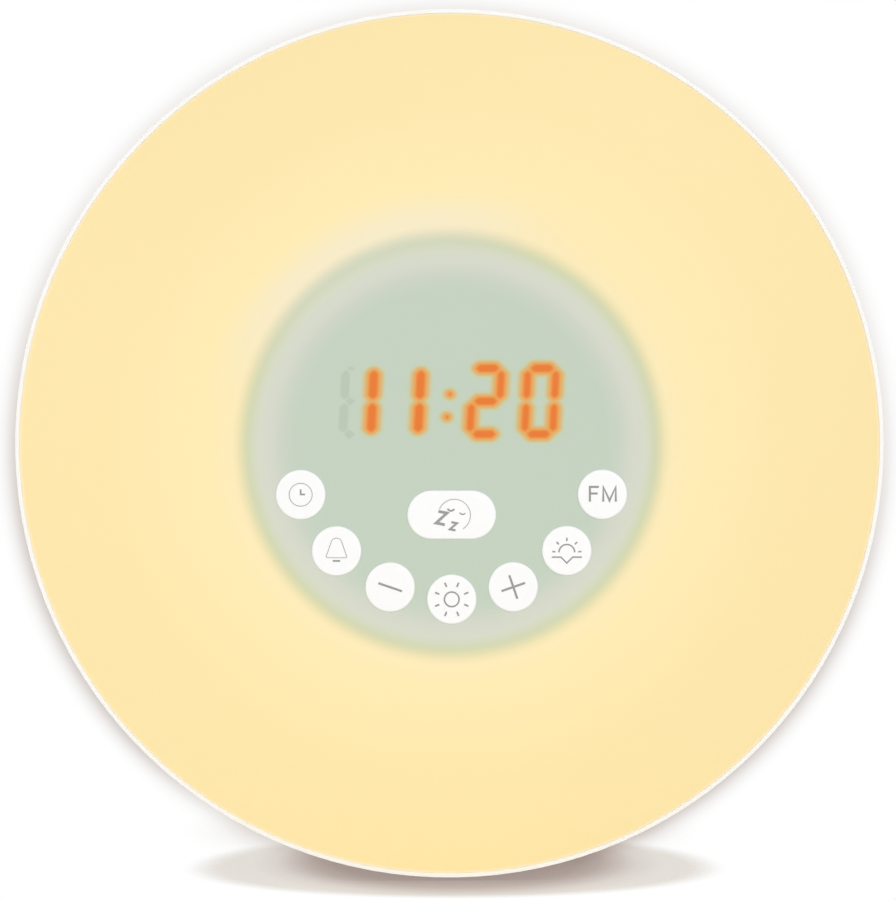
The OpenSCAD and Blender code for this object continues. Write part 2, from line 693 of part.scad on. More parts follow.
module control_housing() {
    color([0.82, 0.86, 0.81]) upright() difference() {
        union() {
            rotate_extrude() polygon([
                [0, housing_z], [housing_r, housing_z], [housing_r, floor_z + board_t],
                [flange_r, floor_z + board_t], [flange_r, floor_z], [housing_r - housing_t, floor_z],
                [housing_r - housing_t, housing_face_in_z], [0, housing_face_in_z]
            ]);
            for (p = control_posts) at(p, control_board_z)
                cylinder(r = small_boss_r, h = housing_z - control_board_z - EPS);
        }
        for (i = [0:6]) at(key_at(i), control_board_z) cylinder(r = key_r + key_gap, h = 2 * module_t);
        at(snooze_at, control_board_z) linear_extrude(2 * module_t)
            stadium(snooze_len + 2 * key_gap, snooze_w + 2 * key_gap);
        translate([-module_w / 2 - fit_gap, display_y - module_h / 2 - fit_gap, control_board_z])
            cube([module_w + 2 * fit_gap, module_h + 2 * fit_gap, 2 * module_t]);
        for (k = [0:3]) rotate([0, 0, 90 * k]) translate([flange_screw_r, 0, floor_z - EPS])
            cylinder(r = small_screw_r + 2 * fit_gap, h = board_t + 2 * EPS);
        for (p = control_posts) at(p, control_board_z - EPS)
            cylinder(r = small_screw_r + pilot_gap, h = housing_face_in_z - control_board_z);
    }
}

module control_board() {
    color([0.1, 0.33, 0.2]) upright() difference() {
        translate([0, 0, control_board_z - board_t]) cylinder(r = control_board_r, h = board_t);
        for (p = control_posts) at(p, control_board_z - board_t - EPS)
            cylinder(r = small_screw_r + fit_gap, h = board_t + 2 * EPS);
    }
}

module switch_bodies() {
    color([0.13, 0.13, 0.14]) upright() for (p = concat([for (i = [0:6]) key_at(i)], [snooze_at]))
        at(p, control_board_z) difference() {
            translate([-switch_w / 2, -switch_w / 2, 0]) cube([switch_w, switch_w, switch_h]);
            translate([0, 0, plunger_bore_z - control_board_z])
                cylinder(r = plunger_r + plunger_gap, h = switch_h);
        }
}

module round_key(i) {
    color([0.98, 0.98, 0.97]) upright() at(key_at(i), 0) {
        translate([0, 0, key_lip_z - EPS]) cylinder(r = key_r, h = key_top_z - key_edge - key_lip_z + EPS);
        translate([0, 0, key_top_z - key_edge]) cylinder(r1 = key_r, r2 = key_r - key_edge, h = key_edge);
        translate([0, 0, key_foot_z]) cylinder(r = key_r + key_lip, h = key_lip_t);
        translate([0, 0, plunger_top_z]) cylinder(r = STEM_R, h = key_foot_z - plunger_top_z + EPS);
    }
}

module key_snooze() {
    color([0.98, 0.98, 0.97]) upright() at(snooze_at, 0) {
        translate([0, 0, key_lip_z - EPS]) linear_extrude(key_top_z - key_edge - key_lip_z + EPS)
            stadium(snooze_len, snooze_w);
        translate([0, 0, key_top_z - key_edge]) linear_extrude(key_edge)
            stadium(snooze_len - 2 * key_edge, snooze_w - 2 * key_edge);
        translate([0, 0, key_foot_z]) linear_extrude(key_lip_t)
            stadium(snooze_len + 2 * key_lip, snooze_w + 2 * key_lip);
        translate([0, 0, plunger_top_z]) cylinder(r = STEM_R, h = key_foot_z - plunger_top_z + EPS);
    }
}

module plunger(p) {
    color([0.25, 0.25, 0.26]) upright() at(p, plunger_foot_z)
        cylinder(r = plunger_r, h = plunger_top_z - plunger_foot_z);
}

// ---------- Display ----------

function lean(p) = [p[0] + p[1] * tan(digit_lean), p[1]];

// One segment as a bar with pointed ends
module segment(digit, s) {
    a = [SEGMENT_ENDS[s][0][0] * segment_run_w / 2, SEGMENT_ENDS[s][0][1] * segment_run_h / 2];
    b = [SEGMENT_ENDS[s][1][0] * segment_run_w / 2, SEGMENT_ENDS[s][1][1] * segment_run_h / 2];
    way = (b - a) / norm(b - a);
    side = [-way[1], way[0]] * segment_w / 2;
    in = segment_gap + segment_w / 2;
    at([digit_x[digit], display_y], 0) linear_extrude(segment_t) polygon([
        lean(a + way * segment_gap), lean(a + way * in + side), lean(b - way * in + side),
        lean(b - way * segment_gap), lean(b - way * in - side), lean(a + way * in - side)
    ]);
}

module colon_dots() {
    half = colon_pitch / 2 * [tan(colon_lean), 1];
    for (s = [-1, 1]) at([colon_pos[0], display_y + colon_pos[1]] + s * half, 0)
        cylinder(d = colon_d, h = segment_t);
}

module segments(lit) {
    for (digit = [0:3], s = [0:6])
        if ((len(search(s, LIT[digit])) > 0) == lit) segment(digit, s);
    if (lit) colon_dots();
}

module segments_lit() {
    color([0.93, 0.49, 0.24]) upright() translate([0, 0, housing_z - segment_t]) segments(true);
}

module segments_unlit() {
    color([0.72, 0.77, 0.72]) upright() translate([0, 0, housing_z - segment_t]) segments(false);
}

module display_module() {
    color([0.8, 0.84, 0.79]) upright() difference() {
        translate([-module_w / 2, display_y - module_h / 2, control_board_z])
            cube([module_w, module_h, module_t]);
        translate([0, 0, housing_z - segment_t]) {
            segments(true);
            segments(false);
        }
    }
}

// ---------- Lamp ----------

module reflector_bowl() {
    color([0.97, 0.97, 0.96]) upright() difference() {
        union() {
            rotate_extrude() polygon([
                [floor_hole_r, floor_z], [floor_r, floor_z],
                [reflector_rim_r - reflector_t, floor_z + reflector_rise],
                [reflector_rim_r, floor_z + reflector_rise],
                [floor_r + reflector_t, reflector_under_z], [floor_hole_r, reflector_under_z]
            ]);
            for (k = [0:3]) rotate([0, 0, 90 * k]) translate([flange_screw_r, 0, floor_z - small_screw_len])
                cylinder(r = small_boss_r, h = small_screw_len - reflector_t / 2);
        }
        for (k = [0:3]) {
            rotate([0, 0, 90 * k]) translate([flange_screw_r, 0, floor_z - small_screw_len - EPS])
                cylinder(r = small_screw_r + pilot_gap, h = small_screw_len + 2 * EPS);
            at(lamp_screw_at(k), reflector_under_z - EPS)
                cylinder(r = screw_r + 2 * fit_gap, h = reflector_t + 2 * EPS);
        }
        rotate([0, 0, led_lead_angle]) translate([led_rings[0], 0, reflector_under_z - EPS])
            cylinder(r = LEAD_HOLE_R, h = reflector_t + 2 * EPS);
    }
}

module led_ring_board() {
    color([0.93, 0.94, 0.93]) upright() difference() {
        translate([0, 0, floor_z]) cylinder(r = led_board_out_r, h = board_t);
        translate([0, 0, floor_z - EPS]) cylinder(r = led_board_in_r, h = board_t + 2 * EPS);
        for (k = [0:3]) at(lamp_screw_at(k), floor_z - EPS)
            cylinder(r = screw_r + 2 * fit_gap, h = board_t + 2 * EPS);
    }
}

module led_chips() {
    color([0.98, 0.88, 0.5]) upright() for (ring = [0:1], k = [0:led_count - 1])
        rotate([0, 0, (k + 0.5 + ring / 2) * 360 / led_count]) at([led_rings[ring], 0], floor_z + board_t)
            difference() {
                translate([-led_w / 2, -led_w / 2, 0]) cube([led_w, led_w, led_h]);
                translate([0, 0, led_h / 2]) cylinder(r = led_w * 0.38, h = led_h);
            }
}

// ---------- Main board ----------

module main_board() {
    color([0.1, 0.33, 0.2]) upright() difference() {
        translate([-board_w / 2, -board_h / 2, main_board_z]) cube([board_w, board_h, board_t]);
        for (p = board_posts) at(p, main_board_z - EPS)
            cylinder(r = small_screw_r + fit_gap, h = board_t + 2 * EPS);
    }
}

module board_chips() color([0.12, 0.12, 0.13]) upright() for (b = CHIPS) block(b, main_board_top_z);

module board_capacitors() {
    color([0.15, 0.17, 0.3]) upright() for (c = CAPACITORS) at(c, main_board_top_z) {
        cylinder(r = c[2], h = c[3] - 0.4);
        translate([0, 0, c[3] - 0.4]) cylinder(r1 = c[2], r2 = c[2] - 0.4, h = 0.4);
    }
}

module clock_crystal() color([0.8, 0.8, 0.82]) upright() block(CRYSTAL, main_board_top_z);

module radio_can() color([0.76, 0.77, 0.78]) upright() block(RADIO_CAN, main_board_top_z);

module board_connectors() {
    color([0.94, 0.94, 0.9]) upright() {
        for (b = [RIBBON_HEADER, SPEAKER_PLUG, LAMP_PLUG, POWER_PLUG, BATTERY_PLUG])
            block(b, main_board_top_z);
        block(RIBBON_HEADER, control_board_z - board_t - RIBBON_HEADER[4]);
    }
}

// ---------- Speaker ----------

module speaker_gasket() {
    color([0.1, 0.1, 0.11]) upright() at([0, speaker_y], inner_rear_z) difference() {
        cylinder(r = speaker_r, h = GASKET_T);
        translate([0, 0, -EPS]) cylinder(r = speaker_r - SPEAKER_RING, h = GASKET_T + 2 * EPS);
    }
}

module speaker_basket() {
    throat_r = magnet_r * 0.8;
    cup_r = speaker_r - SPEAKER_RING + 0.8;
    color([0.35, 0.36, 0.38]) upright() at([0, speaker_y], 0) difference() {
        rotate_extrude() polygon([
            [speaker_r - SPEAKER_RING, speaker_frame_z], [speaker_r, speaker_frame_z],
            [speaker_r, speaker_flange_z], [cup_r, speaker_flange_z],
            [throat_r, speaker_back_z], [0, speaker_back_z], [0, speaker_back_z - 1],
            [throat_r - 1, speaker_back_z - 1], [cup_r - 1.2, speaker_flange_z - 0.2],
            [speaker_r - SPEAKER_RING, speaker_flange_z - 0.2]
        ]);
        for (k = [0:3]) rotate([0, 0, 90 * k]) translate([0, -3, speaker_flange_z + 1.5])
            cube([speaker_r, 6, speaker_depth * 0.22]);
    }
}

module speaker_magnet() {
    color([0.22, 0.22, 0.24]) upright() at([0, speaker_y], speaker_back_z) {
        cylinder(r = magnet_r, h = magnet_h - 1);
        translate([0, 0, magnet_h - 1]) cylinder(r = magnet_r - 1.2, h = 1);
    }
}

module speaker_cone() {
    cone_r = speaker_r - SPEAKER_RING - 0.4;
    coil_r = magnet_r * 0.45;
    cone_back_z = speaker_back_z - 2.5;
    color([0.14, 0.14, 0.15]) upright() at([0, speaker_y], 0) rotate_extrude() polygon([
        [0, cone_back_z - 1.5], [coil_r, cone_back_z - 1.5 + CONE_T], [coil_r, cone_back_z - CONE_T],
        [cone_r - 2, speaker_frame_z + 0.4], [cone_r + 0.4, speaker_frame_z],
        [cone_r + 0.4, speaker_frame_z + CONE_T], [cone_r - 2, speaker_frame_z + 0.4 + 2 * CONE_T],
        [coil_r, cone_back_z + CONE_T], [coil_r, speaker_back_z - 1], [0, speaker_back_z - 1]
    ]);
}

// ---------- Rear panel ----------

module dc_jack() {
    body = [2 * (jack_r + JACK_SIDE), 2 * jack_r - 0.8];
    color([0.09, 0.09, 0.1]) upright() at([outlet_x, -outlet_drop], 0) difference() {
        union() {
            translate([0, 0, rear_z]) cylinder(r = jack_r, h = shell_t + EPS);
            translate([-body[0] / 2, -body[1] / 2, inner_rear_z])
                cube([body[0], body[1], socket_depth + JACK_END]);
        }
        difference() {
            translate([0, 0, rear_z - EPS]) cylinder(r = socket_r, h = socket_depth + EPS);
            translate([0, 0, rear_z + PIN_SETBACK]) cylinder(r = socket_pin_r, h = socket_depth);
        }
    }
}

module antenna_grommet() {
    color([0.12, 0.12, 0.13]) upright() at([-outlet_x, -outlet_drop], 0) difference() {
        union() {
            translate([0, 0, rear_z]) cylinder(r = grommet_r, h = shell_t + 1);
            translate([0, 0, inner_rear_z]) cylinder(r = grommet_r + 1.2, h = 1.6);
        }
        translate([0, 0, rear_z - EPS]) cylinder(r = grommet_bore_r, h = shell_t + 4);
    }
}

// ---------- Leads ----------

module ribbon_cable() {
    z0 = main_board_top_z + RIBBON_HEADER[4];
    z1 = control_board_z - board_t - RIBBON_HEADER[4];
    steps = 12;
    thick = 0.8;
    sag = 5;
    path = [for (t = [0:1 / steps:1.001])
        [RIBBON_HEADER[1] - sag * (1 - cos(360 * t)) / 2, z0 + (z1 - z0) * t]];
    color([0.72, 0.73, 0.75]) upright() translate([-ribbon_w / 2, 0, 0]) rotate([90, 0, 90])
        linear_extrude(ribbon_w) polygon(concat(
            [for (p = path) p - [thick / 2, 0]],
            [for (i = [steps:-1:0]) path[i] + [thick / 2, 0]]));
}

// Middle of a plug's side face that looks along way
function plug_side(c, way) =
    [c[0] + way[0] * c[2] / 2, c[1] + way[1] * c[3] / 2, main_board_top_z + c[4] / 2];

module lead_pair(points, across) {
    for (s = [-1, 1]) wire([for (p = points) p + s * (LEAD_R + LEAD_SPLIT) * across], LEAD_R);
}

module led_lead() {
    start = plug_side(LAMP_PLUG, [-1, 0]);
    end = [-led_rings[0], 0, floor_z];
    color([0.85, 0.2, 0.18]) upright() lead_pair([
        start, start - [LED_LEAD_RUN, 0, 0], [end[0], end[1], start[2] - 1], end
    ], [0, 1, 0]);
}

module speaker_lead() {
    start = plug_side(SPEAKER_PLUG, [1, 0]);
    end = [magnet_r, speaker_y, speaker_back_z + magnet_h / 2];
    // Swings out round the board's edge
    color([0.15, 0.15, 0.16]) upright() lead_pair([
        start, [board_w / 2 + SPEAKER_LEAD_RUNS[0], start[1], start[2]],
        [board_w / 2 + SPEAKER_LEAD_RUNS[1], end[1], end[2]], end
    ], [0, 1, 0]);
}

module power_lead() {
    start = plug_side(POWER_PLUG, [0, -1]);
    end = [outlet_x, -outlet_drop, inner_rear_z + socket_depth + JACK_END];
    color([0.7, 0.15, 0.14]) upright() lead_pair([
        start, [start[0], -board_h / 2 - POWER_LEAD_RUNS[0], start[2]],
        end + [0, 0, POWER_LEAD_RUNS[1]], end
    ], [1, 0, 0]);
}

module battery_lead() {
    start = plug_side(BATTERY_PLUG, [0, -1]);
    top = [start[0], -start[2], axis_h + start[1]];
    end = [0, bay_y, holder_top_z];
    color([0.8, 0.2, 0.18]) lead_pair([
        top, top - [0, 0, BATTERY_LEAD_RUNS[0]], end + [0, 0, BATTERY_LEAD_RUNS[1]], end
    ], [1, 0, 0]);
}

// ---------- Screws ----------

module housing_screws() {
    color([0.62, 0.63, 0.65]) upright() for (k = [0:3]) rotate([0, 0, 90 * k])
        translate([flange_screw_r, 0, floor_z + board_t]) screw(small_screw_r, small_screw_len);
}

module control_board_screws() {
    color([0.62, 0.63, 0.65]) upright() for (p = control_posts) at(p, control_board_z - board_t)
        mirror([0, 0, 1]) screw(small_screw_r, small_screw_len);
}

module lamp_screws() {
    color([0.62, 0.63, 0.65]) upright() for (k = [0:3]) at(lamp_screw_at(k), floor_z + board_t)
        screw(screw_r, screw_len);
}

module main_board_screws() {
    color([0.62, 0.63, 0.65]) upright() for (p = board_posts) at(p, main_board_top_z)
        screw(small_screw_r, small_screw_len);
}

module speaker_screws() {
    color([0.62, 0.63, 0.65]) upright() for (p = speaker_screws_at) at(p, speaker_flange_z)
        screw(small_screw_r, speaker_screw_len);
}

module foot_screws() {
    color([0.62, 0.63, 0.65]) for (p = foot_screws_at) at(p, foot_screw_seat(p))
        mirror([0, 0, 1]) screw(screw_r, screw_len);
}

front_diffuser();
rear_shell();
stand_foot();
rubber_feet();
battery_door();
battery_holder();
coin_cell();
battery_contact_plus();
battery_contact_minus();
control_housing();
control_board();
switch_bodies();
display_module();
segments_lit();
segments_unlit();
for (i = [0:6]) round_key(i);
key_snooze();
for (i = [0:6]) plunger(key_at(i));
plunger(snooze_at);  // plunger_snooze
reflector_bowl();
led_ring_board();
led_chips();
main_board();
board_chips();
board_capacitors();
clock_crystal();
radio_can();
board_connectors();
speaker_gasket();
speaker_basket();
speaker_magnet();
speaker_cone();
dc_jack();
antenna_grommet();
ribbon_cable();
speaker_lead();
led_lead();
battery_lead();
power_lead();
housing_screws();
control_board_screws();
lamp_screws();
main_board_screws();
speaker_screws();
foot_screws();
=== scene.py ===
"""Sunrise alarm clock: the look of every piece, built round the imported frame.

Sizes are in millimetres and turn into metres only where a mesh is made. The face frame
has x to the right, y up and z out of the lit face, and its origin is on the case's axis.
"""

import logging
import math
from collections.abc import Iterable, Sequence
from dataclasses import dataclass, field
from enum import Enum

import bmesh
import bpy
import numpy as np
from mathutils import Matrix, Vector
from mathutils.geometry import convex_hull_2d, delaunay_2d_cdt


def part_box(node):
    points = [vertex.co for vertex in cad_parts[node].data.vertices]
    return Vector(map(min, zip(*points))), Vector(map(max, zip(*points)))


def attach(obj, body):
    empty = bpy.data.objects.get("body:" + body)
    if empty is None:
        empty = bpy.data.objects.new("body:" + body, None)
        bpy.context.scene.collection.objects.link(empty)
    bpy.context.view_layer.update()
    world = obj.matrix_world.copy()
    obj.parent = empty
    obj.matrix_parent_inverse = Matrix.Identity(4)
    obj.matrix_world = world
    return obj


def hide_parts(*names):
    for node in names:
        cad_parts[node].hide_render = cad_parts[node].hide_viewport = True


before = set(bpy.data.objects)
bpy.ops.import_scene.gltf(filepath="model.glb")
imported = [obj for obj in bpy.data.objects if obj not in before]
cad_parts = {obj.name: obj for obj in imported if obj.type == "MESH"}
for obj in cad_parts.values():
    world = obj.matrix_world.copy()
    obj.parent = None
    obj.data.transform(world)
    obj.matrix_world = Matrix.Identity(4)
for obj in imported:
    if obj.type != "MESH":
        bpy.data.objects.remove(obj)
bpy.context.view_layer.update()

LOG = logging.getLogger("sunrise_clock")
MM = 0.001
Point = tuple[float, float]
Place = tuple[float, float, float]
Oval = tuple[float, float, float, float, float]
Fade = tuple[float, float, float, float]
Tones = tuple[tuple[float, str], ...]
Ring = list[bmesh.types.BMVert]
Material = bpy.types.Material
Tree = bpy.types.NodeTree
Node = bpy.types.Node
Socket = bpy.types.NodeSocket


class Body(str, Enum):
    """The bodies that pieces ride on, apart from the keys'."""

    CASE = "case"


class Texture(Enum):
    """How a surface was made, which sets the pattern of its bump."""

    SPARKED = "fine grain of a spark-eroded mould"
    POLISHED = "faint ripple of a polished mould"
    BRUSHED = "long scratches along one way"
    PRESSED = "short fibres pressed together"
    TRACKS = "copper tracks under solder mask"
    RIBBED = "parallel ribs"


# ---------- Frame ----------


def box_mm(node: str) -> tuple[Vector, Vector]:
    """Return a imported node's lowest and highest corner, in millimetres."""
    low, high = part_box(node)
    return Vector(low) / MM, Vector(high) / MM


RIM_LOW, RIM_HIGH = box_mm("rear_shell")
RIM_R = (RIM_HIGH.x - RIM_LOW.x) / 2
AXIS_H = (RIM_HIGH.z + RIM_LOW.z) / 2


def to_world(x: float, y: float, z: float) -> Vector:
    """Turn a point of the face frame, in millimetres, into one of the row frame, in metres."""
    return Vector((x, -z, AXIS_H + y)) * MM


# ---------- Colours and nodes ----------


def linear(hex_colour: str, level: float = 1.0) -> tuple[float, float, float, float]:
    """Turn an sRGB hex colour into the linear one that shaders take.

    Args:
        hex_colour: colour as "#rrggbb".
        level: factor on the linear colour.

    Returns:
        Linear red, green, blue and an alpha of 1.
    """
    parts = [int(hex_colour[i : i + 2], 16) / 255 for i in (1, 3, 5)]
    toned = [p / 12.92 if p <= 0.04045 else ((p + 0.055) / 1.055) ** 2.4 for p in parts]
    return toned[0] * level, toned[1] * level, toned[2] * level, 1.0


def grey(level: float) -> tuple[float, float, float, float]:
    """Return a linear grey, which stands for a share where a ramp draws one."""
    return level, level, level, 1.0


def add_node(
    tree: Tree,
    kind: str,
    settings: dict[str | int, object] | None = None,
    links: dict[str | int, Node | Socket] | None = None,
) -> Node:
    """Add a node to a tree.

    Args:
        tree: the tree it goes into.
        kind: the node's type, without the word ShaderNode in front.
        settings: its own settings by name, its inputs' values by name or number, and a
            ramp's stops as (position, colour) under "stops". A map range's limits, first
            those it takes and then those it gives, stand under "range".
        links: what feeds its inputs, by the input's name or number: a socket, or a node
            for its first output.

    Returns:
        The new node.
    """
    node = tree.nodes.new(f"ShaderNode{kind}")
    for name, value in (settings or {}).items():
        if name == "stops":
            elements = node.color_ramp.elements
            while len(elements) < len(value):
                elements.new(1.0)
            for element, (position, colour) in zip(elements, value):
                element.position, element.color = position, colour
        elif name == "range":
            for limit, number in zip(("From Min", "From Max", "To Min", "To Max"), value):
                node.inputs[limit].default_value = number
        elif isinstance(name, str) and hasattr(node, name):
            setattr(node, name, value)
        else:
            node.inputs[name].default_value = value
    for name, source in (links or {}).items():
        socket = source if isinstance(source, Socket) else source.outputs[0]
        tree.links.new(socket, node.inputs[name])
    return node


def new_tree(name: str) -> tuple[Material, Tree]:
    """Start a material with an empty tree.

    Args:
        name: the material's name.

    Returns:
        The material and its tree.
    """
    material = bpy.data.materials.new(name)
    material.use_nodes = True
    material.node_tree.nodes.clear()
    return material, material.node_tree


# ---------- Finishes ----------


@dataclass(frozen=True)
class Finish:
    """A material and how its surface was made.

    Attributes:
        name: the real material's name.
        colour: its colour, as sRGB hex.
        roughness: mean roughness of the surface.
        texture: the pattern that making it left.
        pitch, depth: spacing and height of that pattern, in millimetres.
        mottle: how far the colour strays, as a share of it.
        mottle_size: size of the lighter and darker patches, in millimetres.
        edge: radius to which the edges look rounded, in millimetres.
        metallic: 1 for a bare metal.
        ior: index of refraction, left at the default for a metal.
        glow: strength of its own light.
        sheen: dusty sheen of rubber and paper.
        uneven: how far the roughness strays, as a share of it.
        patch_range: the patch noise's values that count as darkest and lightest.
    """

    name: str
    colour: str
    roughness: float
    texture: Texture = Texture.SPARKED
    pitch: float = 0.5
    depth: float = 0.006
    mottle: float = 0.03
    mottle_size: float = 18.0
    edge: float = 0.25
    metallic: float = 0.0
    ior: float = 1.5
    glow: float = 0.0
    sheen: float = 0.0
    uneven: float = 0.1
    patch_range: Point = (0.3, 0.7)

    def build(self) -> Material:
        """Make the material.

        Returns:
            The material, with its pattern in the row frame's own millimetres.
        """
        material, tree = new_tree(self.name)
        place = add_node(tree, "TexCoord").outputs["Object"]
        rounded = add_node(tree, "Bevel", {"samples": 4, "Radius": self.edge * MM})
        bump = add_node(
            tree, "Bump", {"Distance": self.depth * MM, "Strength": 1.0},
            {"Height": self.relief(tree, place), "Normal": rounded},
        )
        size = 1 / (self.mottle_size * MM)
        patches = add_node(
            tree, "TexNoise", {"Scale": size, "Detail": 3.0, "Roughness": 0.55}, {"Vector": place}
        )
        low, high = self.patch_range
        dark, light = linear(self.colour, 1 - self.mottle), linear(self.colour, 1 + self.mottle / 2)
        colour = add_node(tree, "ValToRGB", {"stops": [(low, dark), (high, light)]}, {0: patches})
        smooth, rough = self.roughness * (1 - self.uneven), self.roughness * (1 + self.uneven)
        polish = add_node(tree, "MapRange", {"range": (low, high, smooth, rough)}, {"Value": patches})
        settings: dict[str | int, object] = {"Metallic": self.metallic, "Sheen Weight": self.sheen}
        links: dict[str | int, Node | Socket] = {"Base Color": colour, "Roughness": polish, "Normal": bump}
        if not self.metallic:
            settings["IOR"] = self.ior
        if self.glow:
            settings["Emission Strength"] = self.glow
            links["Emission Color"] = colour
        surface = add_node(tree, "BsdfPrincipled", settings, links)
        add_node(tree, "OutputMaterial", None, {"Surface": surface})
        return material

    def relief(self, tree: Tree, place: Socket) -> Socket:
        """Draw the height of the surface's pattern.

        Args:
            tree: the material's tree.
            place: the coordinates it is drawn in, in metres.

        Returns:
            The height, from 0 to 1.
        """
        pitch = 1 / (self.pitch * MM)
        if self.texture is Texture.RIBBED:
            # The wave repeats after 20 / pi of its own units for each unit of scale
            ribs = {"bands_direction": "X", "Scale": pitch * math.pi / 10}
            return add_node(tree, "TexWave", ribs, {"Vector": place}).outputs["Fac"]
        stretches = {Texture.BRUSHED: (0.02, 1.0, 1.0), Texture.PRESSED: (0.25, 1.0, 1.0)}
        stretch = stretches.get(self.texture, (1.0, 1.0, 1.0))
        drawn = add_node(tree, "Mapping", {"vector_type": "POINT", "Scale": stretch}, {"Vector": place})
        if self.texture is Texture.TRACKS:
            cells = add_node(
                tree, "TexVoronoi",
                {"distance": "CHEBYCHEV", "feature": "F1", "Scale": pitch, "Randomness": 0.6},
                {"Vector": drawn},
            )
            steps = [(0.42, grey(0.0)), (0.5, grey(1.0))]
            return add_node(tree, "ValToRGB", {"stops": steps}, {0: cells.outputs["Distance"]}).outputs[0]
        detail = 1.0 if self.texture is Texture.POLISHED else 4.0
        grain = {"Scale": pitch, "Detail": detail, "Roughness": 0.6}
        return add_node(tree, "TexNoise", grain, {"Vector": drawn}).outputs[0]


